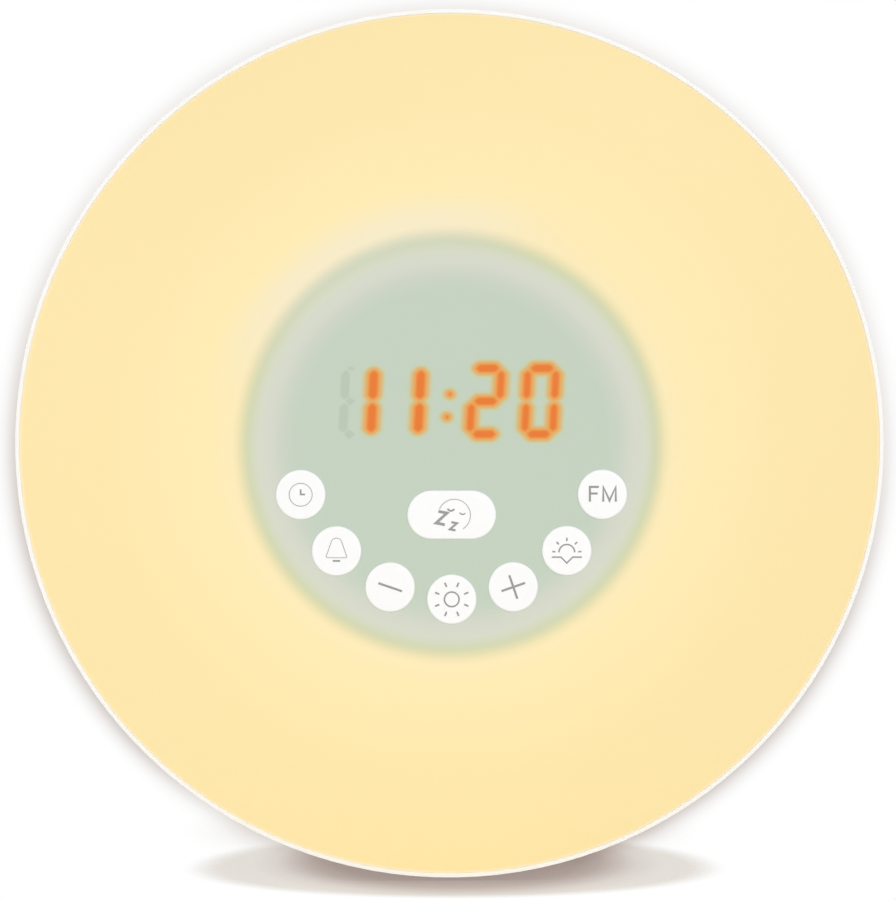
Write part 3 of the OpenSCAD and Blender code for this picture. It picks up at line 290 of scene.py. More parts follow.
@dataclass(frozen=True)
class OpalAcrylic:
    """Opal acrylic, moulded satin and lit from behind.

    It gives back part of the room's light and lets the lamp's light through, so it looks
    evenly bright, without a lamp or an edge showing. The lamp's light and the shade of
    the parts behind are painted into its colour, not cast: where the control housing stands
    close behind it, the painted light is missing and the skin shows a cool grey-green.

    Attributes:
        name: the material's name.
        reflected, glow: strength of the room's light that it gives back, and of the light
            that comes through.
        roughness, ior: roughness of the satin face, and index of refraction.
        grain, grain_depth: size and height of the mould's grain. It is really about
            0.05 mm wide, and is drawn coarser so that it shows.
        halo: the painted light and the housing's painted shade, from the axis outwards, as
            distance in millimetres and sRGB hex. The last stop paints the very edge brighter.
            level, tilt: how bright the painted light is on the axis, and how that changes over a
            radius of the row frame.
            stray_way, stray_range: the side on which painted stray light shows over the housing's
            edge, and how far out on it the light begins and is full, in radii.
        stray: its cool inner and its warm outer colour, each with its share by distance.
        digit_halo: the painted light of a lit segment, from inside it outwards, the same way as halo.
        halo_end: distance from a lit segment at which its light ends.
        digit_range: the distances that the digits' ramps cover.
        unlit_shade, unlit_share, unlit_blur: colour of a dark segment, how strongly it
            shows, and half the width over which its edge fades.
    """

    name: str = "opal_acrylic_satin"
    reflected: float = 0.6
    glow: float = 0.36
    roughness: float = 0.5
    ior: float = 1.49
    grain: float = 0.4
    grain_depth: float = 0.004
    halo: Tones = (
        (30.2, "#c3d1c0"), (32.6, "#c9d3c4"), (34.9, "#d3d7c9"), (36.2, "#d5d9cb"), (37.8, "#d5dac6"),
        (39.6, "#d2d7b1"), (40.6, "#e2ddb0"), (41.6, "#f4e6b5"), (42.6, "#fdecba"), (46.5, "#ffecb4"),
        (54.0, "#ffebb1"), (66.0, "#fee8ac"), (83.75, "#fee8ac"), (84.1, "#fff3d8"),
    )
    level: float = 1.016
    tilt: Place = (-0.0133, 0.0, -0.024)
    stray_way: Place = (-0.42, 0.0, 0.91)
    stray_range: Point = (0.28, 0.52)
    stray: tuple[tuple[str, tuple[Point, ...]], ...] = (
        ("#cbd6d4", ((38.0, 0.0), (39.5, 0.36), (41.2, 0.42), (41.9, 0.2), (42.8, 0.0))),
        ("#f0ecdc", ((40.4, 0.0), (42.8, 0.42), (44.2, 0.42), (49.5, 0.0))),
    )
    digit_halo: Tones = (
        (-0.5, "#e97614"), (-0.3, "#e87a16"), (0.0, "#eb9138"), (0.24, "#e9a34d"),
        (0.48, "#e1ae66"), (0.78, "#d8ba7f"), (1.08, "#cfc899"), (1.4, "#c5d1b5"),
    )
    halo_end: float = 2.0
    digit_range: Point = (-1.0, 3.0)
    unlit_shade: str = "#b7c7b4"
    unlit_share: float = 0.95
    unlit_blur: float = 0.25

    def build(self) -> Material:
        """Make the material.

        Returns:
            The material. It reads the mesh's lit and unlit distances, in millimetres.
        """
        material, tree = new_tree(self.name)
        place = add_node(tree, "TexCoord").outputs["Object"]
        glow = self.digits(tree, self.disc(tree, place))
        reflected = add_node(tree, "VectorMath", {"operation": "SCALE", "Scale": self.reflected}, {0: glow})
        noise = {"Scale": 1 / (self.grain * MM), "Detail": 2.0}
        grain = add_node(tree, "TexNoise", noise, {"Vector": place})
        height = {"Distance": self.grain_depth * MM, "Strength": 1.0}
        bump = add_node(tree, "Bump", height, {"Height": grain})
        surface = add_node(
            tree, "BsdfPrincipled",
            {"Roughness": self.roughness, "IOR": self.ior, "Emission Strength": self.glow},
            {"Base Color": reflected, "Emission Color": glow, "Normal": bump},
        )
        add_node(tree, "OutputMaterial", None, {"Surface": surface})
        material.cycles.emission_sampling = "NONE"
        return material

    def disc(self, tree: Tree, place: Socket) -> Socket:
        """Paint the lamp's light and the housing's shade by their distance from the axis.

        Args:
            tree: the material's tree.
            place: the coordinates it is drawn in, in metres.

        Returns:
            The colour.
        """
        middle, size = (0.0, 0.0, AXIS_H * MM), (1 / (RIM_R * MM), 0.0, 1 / (RIM_R * MM))
        centred = add_node(tree, "VectorMath", {"operation": "SUBTRACT", 1: middle}, {0: place})
        flat = add_node(tree, "VectorMath", {"operation": "MULTIPLY", 1: size}, {0: centred})
        distance = add_node(tree, "VectorMath", {"operation": "LENGTH"}, {0: flat}).outputs["Value"]
        # Painted light and shade: the housing's shade in the middle, the lamp's light outside it
        stops = [(r / RIM_R, linear(colour)) for r, colour in self.halo]
        lit = add_node(tree, "ValToRGB", {"stops": stops}, {0: distance}).outputs[0]
        slope, side = (
            add_node(tree, "VectorMath", {"operation": "DOT_PRODUCT", 1: way}, {0: flat}).outputs["Value"]
            for way in (self.tilt, self.stray_way)
        )
        level = add_node(tree, "Math", {"operation": "ADD", 1: self.level}, {0: slope})
        rise = {"interpolation_type": "SMOOTHSTEP", "range": self.stray_range}
        toward = add_node(tree, "MapRange", rise, {"Value": side})
        for shade, fall in self.stray:
            stops = [(r / RIM_R, grey(share)) for r, share in fall]
            near = add_node(tree, "ValToRGB", {"stops": stops}, {0: distance})
            share = add_node(tree, "Math", {"operation": "MULTIPLY"}, {0: toward, 1: near})
            tint = {"data_type": "RGBA", 7: linear(shade)}
            lit = add_node(tree, "Mix", tint, {0: share, 6: lit}).outputs[2]
        return add_node(tree, "VectorMath", {"operation": "SCALE"}, {0: lit, "Scale": level}).outputs[0]

    def digits(self, tree: Tree, disc: Socket) -> Socket:
        """Paint the light of the segments that shine through the skin, and the shade of the others.

        Args:
            tree: the material's tree.
            disc: the colour without them.

        Returns:
            The colour with them.
        """
        low, high = self.digit_range
        unlit, lit = (
            add_node(
                tree, "MapRange", {"range": (low, high)},
                {"Value": add_node(tree, "Attribute", {"attribute_name": name}).outputs["Fac"]},
            )
            for name in ("unlit_distance", "lit_distance")
        )

        def stop(distance: float) -> float:
            """Return a distance's position on the ramps."""
            return (distance - low) / (high - low)

        blur, halo_start = self.unlit_blur, self.digit_halo[-1][0]
        fades = {"range": (stop(-blur), stop(blur), self.unlit_share, 0.0)}
        shade = add_node(tree, "MapRange", fades, {"Value": unlit})
        tint = {"data_type": "RGBA", 7: linear(self.unlit_shade)}
        ghost = add_node(tree, "Mix", tint, {0: shade, 6: disc}).outputs[2]
        fades = {"range": (stop(halo_start), stop(self.halo_end), 1.0, 0.0)}
        share = add_node(tree, "MapRange", fades, {"Value": lit})
        stops = [(stop(d), linear(c)) for d, c in self.digit_halo]
        colour = add_node(tree, "ValToRGB", {"stops": stops}, {0: lit})
        return add_node(tree, "Mix", {"data_type": "RGBA"}, {0: share, 6: ghost, 7: colour}).outputs[2]


# White ABS from a polished mould: clean white, with a clear edge to its highlight
WHITE_KEY = Finish(
    "white_abs_polished", "#fcfdff", 0.35, Texture.POLISHED, pitch=1.2, depth=0.0006, mottle=0.006,
    edge=0.1,
)
# Pad-printed ink: a thin matt film that hardly catches the light
SIGN_INK, PALE_INK = (
    Finish(f"pad_printed_ink_{tone}", colour, 0.6, Texture.POLISHED, pitch=0.4, depth=0.002, mottle=0.02)
    for tone, colour in (("grey", "#9d9d9c"), ("pale", "#b4b4b3"))
)
KEY_NAMES = ("clock", "alarm", "minus", "lamp", "plus", "sunrise", "radio", "snooze")

NODE_FINISHES: dict[Finish, tuple[str, ...]] = {
    # White ABS from a lightly sparked mould: even, with a soft highlight and no reflections
    Finish("white_abs_sparked", "#fbfaf6", 0.42, depth=0.004, mottle=0.012, edge=0.12): (
        "rear_shell", "stand_foot", "battery_door",
    ),
    # Moulded black rubber: matt, with a dusty sheen
    Finish(
        "black_rubber_moulded", "#1d1d1f", 0.75, Texture.PRESSED, pitch=0.3, depth=0.02, mottle=0.15,
        mottle_size=3.0, sheen=0.2,
    ): ("rubber_feet", "speaker_gasket", "antenna_grommet"),
    # Black glass-filled nylon: dull, with the grain of its mould
    Finish("black_nylon_moulded", "#1b1b1d", 0.5, pitch=0.4, depth=0.01, mottle=0.1, mottle_size=5.0): (
        "battery_holder", "switch_bodies", "board_chips", "dc_jack",
        *(f"plunger_{name}" for name in KEY_NAMES),
    ),
    # Nickel-plated steel: warmer and smoother than zinc
    Finish(
        "nickel_plated_steel", "#cfccc6", 0.2, Texture.BRUSHED, pitch=0.15, depth=0.002, mottle=0.06,
        mottle_size=4.0, edge=0.12, metallic=1.0,
    ): ("coin_cell", "clock_crystal", "radio_can"),
    # Brass spring strip, rolled and thinly tinned
    Finish(
        "tinned_brass_strip", "#d9c79a", 0.28, Texture.BRUSHED, pitch=0.15, depth=0.003, mottle=0.08,
        mottle_size=2.0, edge=0.05, metallic=1.0,
    ): ("battery_contact_plus", "battery_contact_minus"),
    # Grey-green ABS, moulded satin
    Finish("grey_green_abs_satin", "#c7d5c4", 0.5): ("control_housing",),
    # Glass-epoxy board under green solder mask: glossy, with the tracks as low steps
    Finish(
        "green_solder_mask", "#14502c", 0.3, Texture.TRACKS, pitch=2.2, depth=0.035, mottle=0.12,
        mottle_size=4.0,
    ): ("control_board", "main_board"),
    # Display body: grey polycarbonate with a matt face
    Finish("grey_polycarbonate_matt", "#c3ccc2", 0.6, pitch=0.3): ("display_module",),
    # Clear epoxy over a lit chip, which fills it with orange light
    Finish(
        "orange_lit_epoxy", "#ee7a35", 0.25, Texture.POLISHED, pitch=1.0, depth=0.003, mottle=0.08,
        mottle_size=2.0, glow=1.0,
    ): ("segments_lit",),
    # The same epoxy over a dark chip: milky, and the face's own colour
    Finish("milky_unlit_epoxy", "#b9c6b9", 0.25, Texture.POLISHED, pitch=1.0, depth=0.003): (
        "segments_unlit",
    ),
    # Titanium-white polystyrene, polished so that it mirrors the LEDs' light forward
    Finish("white_polystyrene_glossy", "#f7f7f5", 0.18, Texture.POLISHED, pitch=3.0, depth=0.004): (
        "reflector_bowl",
    ),
    # Aluminium board under white solder mask, which throws the lamp's light forward
    Finish(
        "white_solder_mask", "#ecedea", 0.35, Texture.TRACKS, pitch=4.0, depth=0.035, mottle=0.03,
        mottle_size=6.0,
    ): ("led_ring_board",),
    # Phosphor under silicone: a soft yellow that glows
    Finish(
        "led_phosphor_silicone", "#f8e08a", 0.35, Texture.POLISHED, pitch=0.6, mottle=0.1, mottle_size=1.5,
        glow=1.5,
    ): ("led_chips",),
    # Shrunk PVC sleeve: glossy and slightly uneven
    Finish(
        "pvc_shrink_sleeve_blue", "#1d2440", 0.3, Texture.POLISHED, pitch=1.5, depth=0.02, mottle=0.08
    ): ("board_capacitors",),
    # Natural nylon: ivory, waxy
    Finish("natural_nylon_moulded", "#ebe9dc", 0.45, pitch=0.4, mottle=0.03, mottle_size=3.0): (
        "board_connectors",
    ),
    # Pressed steel under grey powder coat, which has a fine orange-peel skin
    Finish("powder_coated_steel", "#4a4c50", 0.5, pitch=0.6, depth=0.02, mottle=0.06, mottle_size=4.0): (
        "speaker_basket",
    ),
    # Sintered ferrite, ground flat
    Finish(
        "sintered_ferrite", "#29292c", 0.65, Texture.PRESSED, pitch=0.25, depth=0.015, mottle=0.2,
        mottle_size=1.5,
    ): ("speaker_magnet",),
    # Pulp cone: matt black paper with short fibres
    Finish(
        "black_pulp_paper", "#1b1a1c", 0.85, Texture.PRESSED, pitch=0.35, depth=0.03, mottle=0.2,
        mottle_size=1.2, sheen=0.3,
    ): ("speaker_cone",),
    # Flat cable: grey PVC drawn over wires 1.27 mm apart, so its face is ribbed
    Finish("grey_flat_cable_pvc", "#9ea1a5", 0.45, Texture.RIBBED, pitch=1.27, depth=0.12): (
        "ribbon_cable",
    ),
    # Extruded PVC insulation: smooth along the wire, red and black
    Finish(
        "red_pvc_insulation", "#b62a22", 0.4, Texture.BRUSHED, pitch=0.3, depth=0.01, mottle=0.06,
        mottle_size=8.0,
    ): ("led_lead", "battery_lead", "power_lead"),
    Finish("black_pvc_insulation", "#19191b", 0.4, Texture.BRUSHED, pitch=0.3, depth=0.01, mottle=0.06): (
        "speaker_lead",
    ),
    # Zinc-plated steel: bright, faintly blue, with the marks of heading and rolling
    Finish(
        "zinc_plated_steel", "#b9bdc4", 0.3, Texture.BRUSHED, pitch=0.2, depth=0.004, mottle=0.1,
        mottle_size=1.5, edge=0.1, metallic=1.0,
    ): (
        "housing_screws", "control_board_screws", "lamp_screws", "main_board_screws", "speaker_screws",
        "foot_screws",
    ),
}


# ---------- Meshes ----------


def add_object(name: str, data: bpy.types.ID) -> bpy.types.Object:
    """Put an object into the scene.

    Args:
        name: its name.
        data: the mesh, lamp or camera that it shows.

    Returns:
        The object.
    """
    made = bpy.data.objects.new(name, data)
    bpy.context.scene.collection.objects.link(made)
    return made


@dataclass
class Solid:
    """A mesh under construction, which a piece holds in the face frame's millimetres."""

    name: str
    mesh: bmesh.types.BMesh = field(default_factory=bmesh.new)
    # The angle at which an edge begins to stay sharp, in degrees
    sharp: float = 35.0

    def ring(self, points: Iterable[Point], z: float) -> Ring:
        """Add a loop of vertices at one distance out of the face."""
        return [self.mesh.verts.new((x, y, z)) for x, y in points]

    def loft(self, loops: Sequence[Ring]) -> None:
        """Join each loop to the next one with faces.

        Args:
            loops: closed loops of equal length.
        """
        for a, b in zip(loops, loops[1:]):
            for i in range(len(a)):
                j = (i + 1) % len(a)
                self.mesh.faces.new((a[i], a[j], b[j], b[i]))

    def cap(self, ring: Ring) -> None:
        """Close a loop with one face."""
        self.mesh.faces.new(ring)

    def skin(self, loops: Sequence[Ring], loose: Iterable[Point] = ()) -> None:
        """Fill the flat area between an outer loop and the holes in it.

        Args:
            loops: the outer loop and the holes, all at one depth.
            loose: further points that the faces run through.
        """
        ours = [v for loop in loops for v in loop]
        edges, start = [], 0
        for loop in loops:
            edges += [(start + i, start + (i + 1) % len(loop)) for i in range(len(loop))]
            start += len(loop)
        ours += self.ring(loose, ours[0].co.z)
        flat = [Vector((v.co.x, v.co.y)) for v in ours]
        _, _, faces, origins, _, _ = delaunay_2d_cdt(flat, edges, [], 2, 1e-5)
        for face in faces:
            self.mesh.faces.new([ours[origins[i][0]] for i in face])

    def show(self, material: Material) -> bpy.types.Object:
        """Turn the mesh, by then in the row frame's metres, into an object.

        Args:
            material: what it is made of.

        Returns:
            The object, linked to the scene.
        """
        mesh = bpy.data.meshes.new(self.name)
        self.mesh.to_mesh(mesh)
        self.mesh.free()
        mesh.materials.append(material)
        return add_object(self.name, mesh)

    def piece(
        self, material: Material, body: str, slot: str, replaced: Sequence[str] = ()
    ) -> bpy.types.Object:
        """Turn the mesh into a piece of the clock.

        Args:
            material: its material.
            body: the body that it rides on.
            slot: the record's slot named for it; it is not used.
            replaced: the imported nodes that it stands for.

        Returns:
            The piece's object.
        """
        bmesh.ops.recalc_face_normals(self.mesh, faces=self.mesh.faces)
        for v in self.mesh.verts:
            v.co = to_world(*v.co)
        made = self.show(material)
        made.data.shade_smooth()
        made.data.set_sharp_from_angle(angle=math.radians(self.sharp))
        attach(made, body)
        if replaced:
            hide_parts(*replaced)
        LOG.info("%s: %d faces on %s", self.name, len(made.data.polygons), body)
        return made


def arc(centre: Point, radius: float, start: float, end: float, steps: int) -> list[Point]:
    """Return steps + 1 points along an arc, between two angles in degrees."""
    angles = [math.radians(start + (end - start) * i / steps) for i in range(steps + 1)]
    return [(centre[0] + radius * math.cos(a), centre[1] + radius * math.sin(a)) for a in angles]


def circle(centre: Point, radius: float, steps: int, start: float = 0.0) -> list[Point]:
    """Return points round a circle, anticlockwise from an angle in degrees."""
    return arc(centre, radius, start, start + 360, steps)[:-1]


def stadium(centre: Point, length: float, width: float, steps: int = 64) -> list[Point]:
    """List points round a shape with straight sides and round ends.

    Args:
        centre: its middle.
        length: its length along x.
        width: its width, which is its length too where it is a circle.
        steps: number of points.

    Returns:
        The points, anticlockwise.
    """
    reach, r, half = (length - width) / 2, width / 2, steps // 2 - 1
    if reach <= 0:
        return circle(centre, r, steps, -90)
    right = arc((centre[0] + reach, centre[1]), r, -90, 90, half)
    return right + arc((centre[0] - reach, centre[1]), r, 90, 270, half)


@dataclass(frozen=True)
class Opening:
    """A key's place in the face.

    Attributes:
        name: the key's name.
        centre: its middle.
        length: its length along x.
        width: its width.
    """

    name: str
    centre: Point
    length: float
    width: float

    def outline(self, grow: float) -> list[Point]:
        """Return the key's outline, grow larger on every side."""
        return stadium(self.centre, self.length + 2 * grow, self.width + 2 * grow)


# ---------- Face ----------


@dataclass
class Diffuser:
    """The milky disc in front, through which the lamp and the digits shine.

    Attributes:
        openings: the keys' places.
        skin: thickness of the wall.
        flat_r, drop: radius of the flat middle, and how far the dome falls from there.
        edge_r, edge_in: rounding of the edge, and how much further it reaches inwards.
        skirt: height of the skirt behind the edge.
        hole_gap, hole_edge: gap round each key, and rounding of its opening.
        guard, flat_guard: distance of the points that keep the faces narrow, round an
            opening and inside the flat's edge.
        spread: how far the disc closes the gap to the rim.
        tab_count, tab_angle: number of snap tabs, and the degrees that each covers.
        tab_parts: number of straight parts that a tab is bent from.
        tab_in: how far a tab's root stands inside the skirt.
        tab_outline: its section, from its root and from the skirt's back.
        steps: number of points round the disc.
        digit_pitch, digit_margin: spacing of the fine grid where the digits shine through,
            and how far it reaches past them.
    """

    openings: list[Opening]
    skin: float = 2.0
    flat_r: float = 42.0
    drop: float = 7.0
    edge_r: float = 0.12
    edge_in: float = 0.15
    skirt: float = 7.4
    hole_gap: float = 0.1
    hole_edge: float = 0.15
    guard: float = 0.25
    flat_guard: float = 1.0
    spread: float = 0.09
    tab_count: int = 6
    tab_angle: float = 9.0
    tab_parts: int = 4
    tab_in: float = 0.9
    tab_outline: tuple[Point, ...] = (
        (-1.7, -5.1), (0, -5.1), (0.7, -3.2), (0.7, -2.6), (0, -2.6), (0, 0.1), (0.85, 0.1), (0.85, 4),
        (-1.7, 4),
    )
    steps: int = 240
    digit_pitch: float = 0.25
    digit_margin: float = 3.4

    def __post_init__(self) -> None:
        """Take the outer sizes from the frame."""
        low, high = box_mm("front_diffuser")
        self.front_z = -low.y
        self.radius = (high.x - low.x) / 2 + self.spread
        self.back_z = self.front_z - self.drop - self.skirt
        self.dome_r = ((self.radius - self.flat_r) ** 2 + self.drop**2) / (2 * self.drop)

    def build(self, finish: OpalAcrylic) -> bpy.types.Object:
        """Make the disc.

        Args:
            finish: what it is made of.

        Returns:
            The disc's object.
        """
        solid = Solid("diffuser_disc")
        self.shell(solid)
        for k in range(self.tab_count):
            self.tab(solid, 90 + k * 360 / self.tab_count)
        disc = solid.piece(finish.build(), Body.CASE.value, "milky_diffuser", ["front_diffuser"])
        # The two digits with most segments lit are weaker
        lit = Shine("segments_lit", fades_from=-5.0, fades_to=3.0, faded=0.16)
        # Only the first digit's dark segments show
        unlit = Shine("segments_unlit", blend=0.05, fades_from=-19.8, fades_to=-17.8, faded=2.0)
        lit.write(disc.data, "lit_distance")
        unlit.write(disc.data, "unlit_distance")
        return disc

    def shell(self, solid: Solid) -> None:
        """Make the domed face with its openings, the skirt and the inside.

        Args:
            solid: the mesh they go into.
        """
        inner_r = self.radius - self.skin
        dome = (self.flat_r, self.front_z - self.dome_r)
        outer_a = math.degrees(math.asin((self.radius - self.edge_r - self.flat_r) / self.dome_r))
        inner_a = math.degrees(math.asin((inner_r - self.flat_r) / (self.dome_r - self.skin)))
        profile = arc(dome, self.dome_r, 90, 90 - outer_a, steps=40)
        tip_r, tip_z = profile[-1]
        pivot = (tip_r - self.edge_in, tip_z - self.edge_r)
        profile += arc(pivot, self.edge_r + self.edge_in, 75, 0, steps=5)
        profile += [(self.radius, self.back_z), (inner_r, self.back_z)]
        profile += arc(dome, self.dome_r - self.skin, 90 - inner_a, 90, steps=24)
        rings = [solid.ring(circle((0, 0), r, self.steps), z) for r, z in profile]
        solid.loft(rings)
        outside, inside = [rings[0]], [rings[-1]]
        guards: list[Point] = []
        edge, outermost = self.hole_edge, self.hole_gap + self.hole_edge
        wall = [(outermost, self.front_z)]
        for turn in map(math.radians, (30, 60, 90)):
            wall.append((outermost - edge * math.sin(turn), self.front_z - edge * (1 - math.cos(turn))))
        wall.append((self.hole_gap, self.front_z - self.skin))
        for opening in self.openings:
            loops = [solid.ring(opening.outline(grow), z) for grow, z in wall]
            solid.loft(loops)
            outside.append(loops[0])
            inside.append(loops[-1])
            guards += opening.outline(outermost + self.guard)
        guards += circle((0, 0), self.flat_r - self.flat_guard, self.steps)
        solid.skin(outside, guards + self.window())
        solid.skin(inside)

    def window(self) -> list[Point]:
        """Lay a fine grid of points where the digits shine through.

        Returns:
            The points, column by column.
        """
        lows, highs = zip(*(box_mm(node) for node in ("segments_lit", "segments_unlit")))
        x0 = min(low.x for low in lows) - self.digit_margin
        x1 = max(high.x for high in highs) + self.digit_margin
        y0 = min(low.z for low in lows) - AXIS_H - self.digit_margin
        y1 = max(high.z for high in highs) - AXIS_H + self.digit_margin
        pitch = self.digit_pitch
        columns, rows = (range(int(length / pitch) + 1) for length in (x1 - x0, y1 - y0))
        return [(x0 + i * pitch, y0 + j * pitch) for i in columns for j in rows]

    def tab(self, solid: Solid, angle: float) -> None:
        """Make one snap tab inside the skirt.

        Args:
            solid: the mesh it goes into.
            angle: its middle, in degrees round the axis.
        """
        root = self.radius - self.skin - self.tab_in
        section = [(root + r, self.back_z + z) for r, z in self.tab_outline]
        slices = []
        for k in range(self.tab_parts + 1):
            a = math.radians(angle + self.tab_angle * (k / self.tab_parts - 0.5))
            slices.append([solid.mesh.verts.new((r * math.cos(a), r * math.sin(a), z)) for r, z in section])
        solid.loft(slices)
        solid.cap(slices[0])
        solid.cap(slices[-1])


@dataclass
class Shine:
    """Distances from the display's segments, which the diffuser's material reads.

    Attributes:
        node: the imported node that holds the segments.
        far: the distance that stands for anything further away, in millimetres.
        squeeze: how much faster a segment's light falls off up and down than sideways.
        blend: how far the light of two segments runs together, in millimetres.
        rounding: how far the skin rounds a segment's corners, as a share of its half width.
        fades_from, fades_to: where along x the segments begin to fade and have faded.
        faded: distance that the fade adds, in millimetres.
        dot_size, dot_faded: the largest size of a colon dot, and the distance that its
            weaker light adds.
    """

    node: str
    far: float = 9.0
    squeeze: float = 1.3
    blend: float = 0.22
    rounding: float = 0.5
    fades_from: float = 90.0
    fades_to: float = 100.0
    faded: float = 1.0
    dot_size: float = 2.0
    dot_faded: float = 0.14

    def outlines(self) -> list[np.ndarray]:
        """Find each segment's outline, as seen from the front.

        Returns:
            The outlines, anticlockwise, in metres and stretched in height.
        """
        mesh = bmesh.new()
        mesh.from_mesh(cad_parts[self.node].data)
        bmesh.ops.remove_doubles(mesh, verts=mesh.verts, dist=1e-6)
        seen, found = set(), []
        for first in mesh.verts:
            if first in seen:
                continue
            seen.add(first)
            island, todo = [], [first]
            while todo:
                v = todo.pop()
                island.append(v)
                fresh = [e.other_vert(v) for e in v.link_edges if e.other_vert(v) not in seen]
                seen.update(fresh)
                todo += fresh
            spots = {(round(v.co.x, 6), round(v.co.z * self.squeeze, 6)) for v in island}
            flat = [Vector(p) for p in sorted(spots)]
            hull = np.array([flat[i] for i in convex_hull_2d(flat)])
            following = np.roll(hull, -1, axis=0)
            area = (hull[:, 0] * following[:, 1] - hull[:, 1] * following[:, 0]).sum()
            found.append(hull if area > 0 else hull[::-1])
        mesh.free()
        return found

    def inset(self, outline: np.ndarray) -> tuple[np.ndarray, float]:
        """Shrink a convex outline, so that growing it again rounds its corners.

        Args:
            outline: its points, anticlockwise and in metres.

        Returns:
            The smaller outline, and how far it was shrunk.
        """
        ways = np.roll(outline, -1, axis=0) - outline
        ways /= np.linalg.norm(ways, axis=1)[:, None]
        inwards = np.stack((-ways[:, 1], ways[:, 0]), axis=1)
        depth = (inwards @ outline.T).max(axis=1) - (inwards * outline).sum(axis=1)
        shrunk = self.rounding * depth.min() / 2
        limits = (inwards * outline).sum(axis=1) + shrunk
        pairs = zip(np.roll(inwards, 1, axis=0), inwards, np.roll(limits, 1), limits)
        corners = [np.linalg.solve(np.array((a, b)), np.array((p, q))) for a, b, p, q in pairs]
        return np.array(corners), shrunk

    def distances(self, points: np.ndarray) -> np.ndarray:
        """Measure how far points lie from the nearest segment.

        Args:
            points: x and z of each, in metres.

        Returns:
            The distances in millimetres, negative inside a segment.
        """
        light = np.full(len(points), math.exp(-self.far / self.blend))
        points = points * (1, self.squeeze)
        for whole in self.outlines():
            outline, shrunk = self.inset(whole)
            if np.ptp(whole, axis=0).max() < self.dot_size * MM:
                shrunk -= self.dot_faded * MM
            inside = np.full(len(points), -np.inf)
            away = np.full(len(points), np.inf)
            for a, b in zip(outline, np.roll(outline, -1, axis=0)):
                length = np.linalg.norm(b - a)
                way, offset = (b - a) / length, points - a
                along = np.clip(offset @ way, 0, length)
                away = np.minimum(away, np.linalg.norm(offset - along[:, None] * way, axis=1))
                inside = np.maximum(inside, offset @ np.array((way[1], -way[0])))
            light += np.exp(-(np.where(inside > 0, away, -away) - shrunk) / MM / self.blend)
        faded = (points[:, 0] / MM - self.fades_from) / (self.fades_to - self.fades_from)
        return -self.blend * np.log(light) + self.faded * np.clip(faded, 0, 1)

    def write(self, mesh: bpy.types.Mesh, name: str) -> None:
        """Store the distances on a mesh.

        Args:
            mesh: the mesh, in the row frame.
            name: the attribute that holds them.
        """
        places = np.empty(len(mesh.vertices) * 3, dtype=np.float32)
        mesh.vertices.foreach_get("co", places)
        places = places.reshape(-1, 3).astype(float)
        values = np.full(len(places), self.far)
        front = places[:, 1] < places[:, 1].min() + 1e-5
        values[front] = self.distances(places[front][:, [0, 2]])
        mesh.attributes.new(name, "FLOAT", "POINT").data.foreach_set("value", values.astype(np.float32))


# ---------- Keys and their signs ----------


@dataclass(frozen=True)
class Stroke:
    """One line of a sign.

    Attributes:
        points: the points it runs through, from the key's middle.
        width: its width.
        closed: True if it ends where it starts.
        pale: True if it is printed in the paler ink.
        mitre_limit: keeps the mitre of a sharp corner short.
    """

    points: tuple[Point, ...]
    width: float
    closed: bool = False
    pale: bool = False
    mitre_limit: float = 0.4

    def edges(self) -> tuple[list[Point], list[Point]]:
        """Work out the line's two sides, mitred at the corners.

        Returns:
            The points along its left side, and those along its right side.
        """
        count = len(self.points)
        path = [Vector(p) for p in self.points]
        sides: tuple[list[Point], list[Point]] = ([], [])
        for i, here in enumerate(path):
            ways = []
            if self.closed or i > 0:
                ways.append((here - path[i - 1]).normalized())
            if self.closed or i < count - 1:
                ways.append((path[(i + 1) % count] - here).normalized())
            across = [Vector((-w.y, w.x)) for w in ways]
            mitre = sum(across, Vector((0.0, 0.0))).normalized()
            reach = self.width / 2 / max(mitre.dot(across[0]), self.mitre_limit)
            for side, sign in zip(sides, (1, -1)):
                p = here + mitre * reach * sign
                side.append((p.x, p.y))
        return sides


def line(width: float, *points: Point) -> Stroke:
    """Return a stroke through points."""
    return Stroke(points, width)


def curve(
    centre: Point, radius: float, start: float, end: float, width: float, pale: bool = False
) -> Stroke:
    """Return a stroke along an arc."""
    return Stroke(tuple(arc(centre, radius, start, end, 28)), width, pale=pale)


def turned(points: Sequence[Point], degrees: float, centre: Point = (0.0, 0.0)) -> tuple[Point, ...]:
    """Return points turned anticlockwise about the origin, then moved to a centre."""
    c, s = math.cos(math.radians(degrees)), math.sin(math.radians(degrees))
    return tuple((centre[0] + x * c - y * s, centre[1] + x * s + y * c) for x, y in points)


def rays(centre: Point, inner: float, outer: float, angles: Iterable[float], width: float) -> list[Stroke]:
    """Return short strokes that point away from a centre."""
    return [Stroke(turned([(inner, 0), (outer, 0)], a, centre), width) for a in angles]


def bell() -> list[Stroke]:
    """Draw the alarm key's sign.

    Returns:
        The bell, and its clapper.
    """
    right = arc((0, 1.42), 1.08, 90, 12, 8) + [(1.28, 1.0), (1.48, 0.4), (1.72, -0.3), (1.98, -0.88)]
    right += arc((1.76, -1.06), 0.24, 30, -90, 5)
    left = [(-x, y) for x, y in reversed(right)][:-1]
    return [Stroke(tuple(right + left), 0.16, True, True), line(0.34, (-0.72, -1.92), (0.72, -1.92))]


def letter_z(centre: Point, width: float, height: float, stroke: float, lean: float = -11) -> Stroke:
    """Return a Z, leaning by some degrees."""
    w, h = width / 2, height / 2
    return Stroke(turned([(-w, h), (w, h), (-w, -h), (w, -h)], lean, centre), stroke)


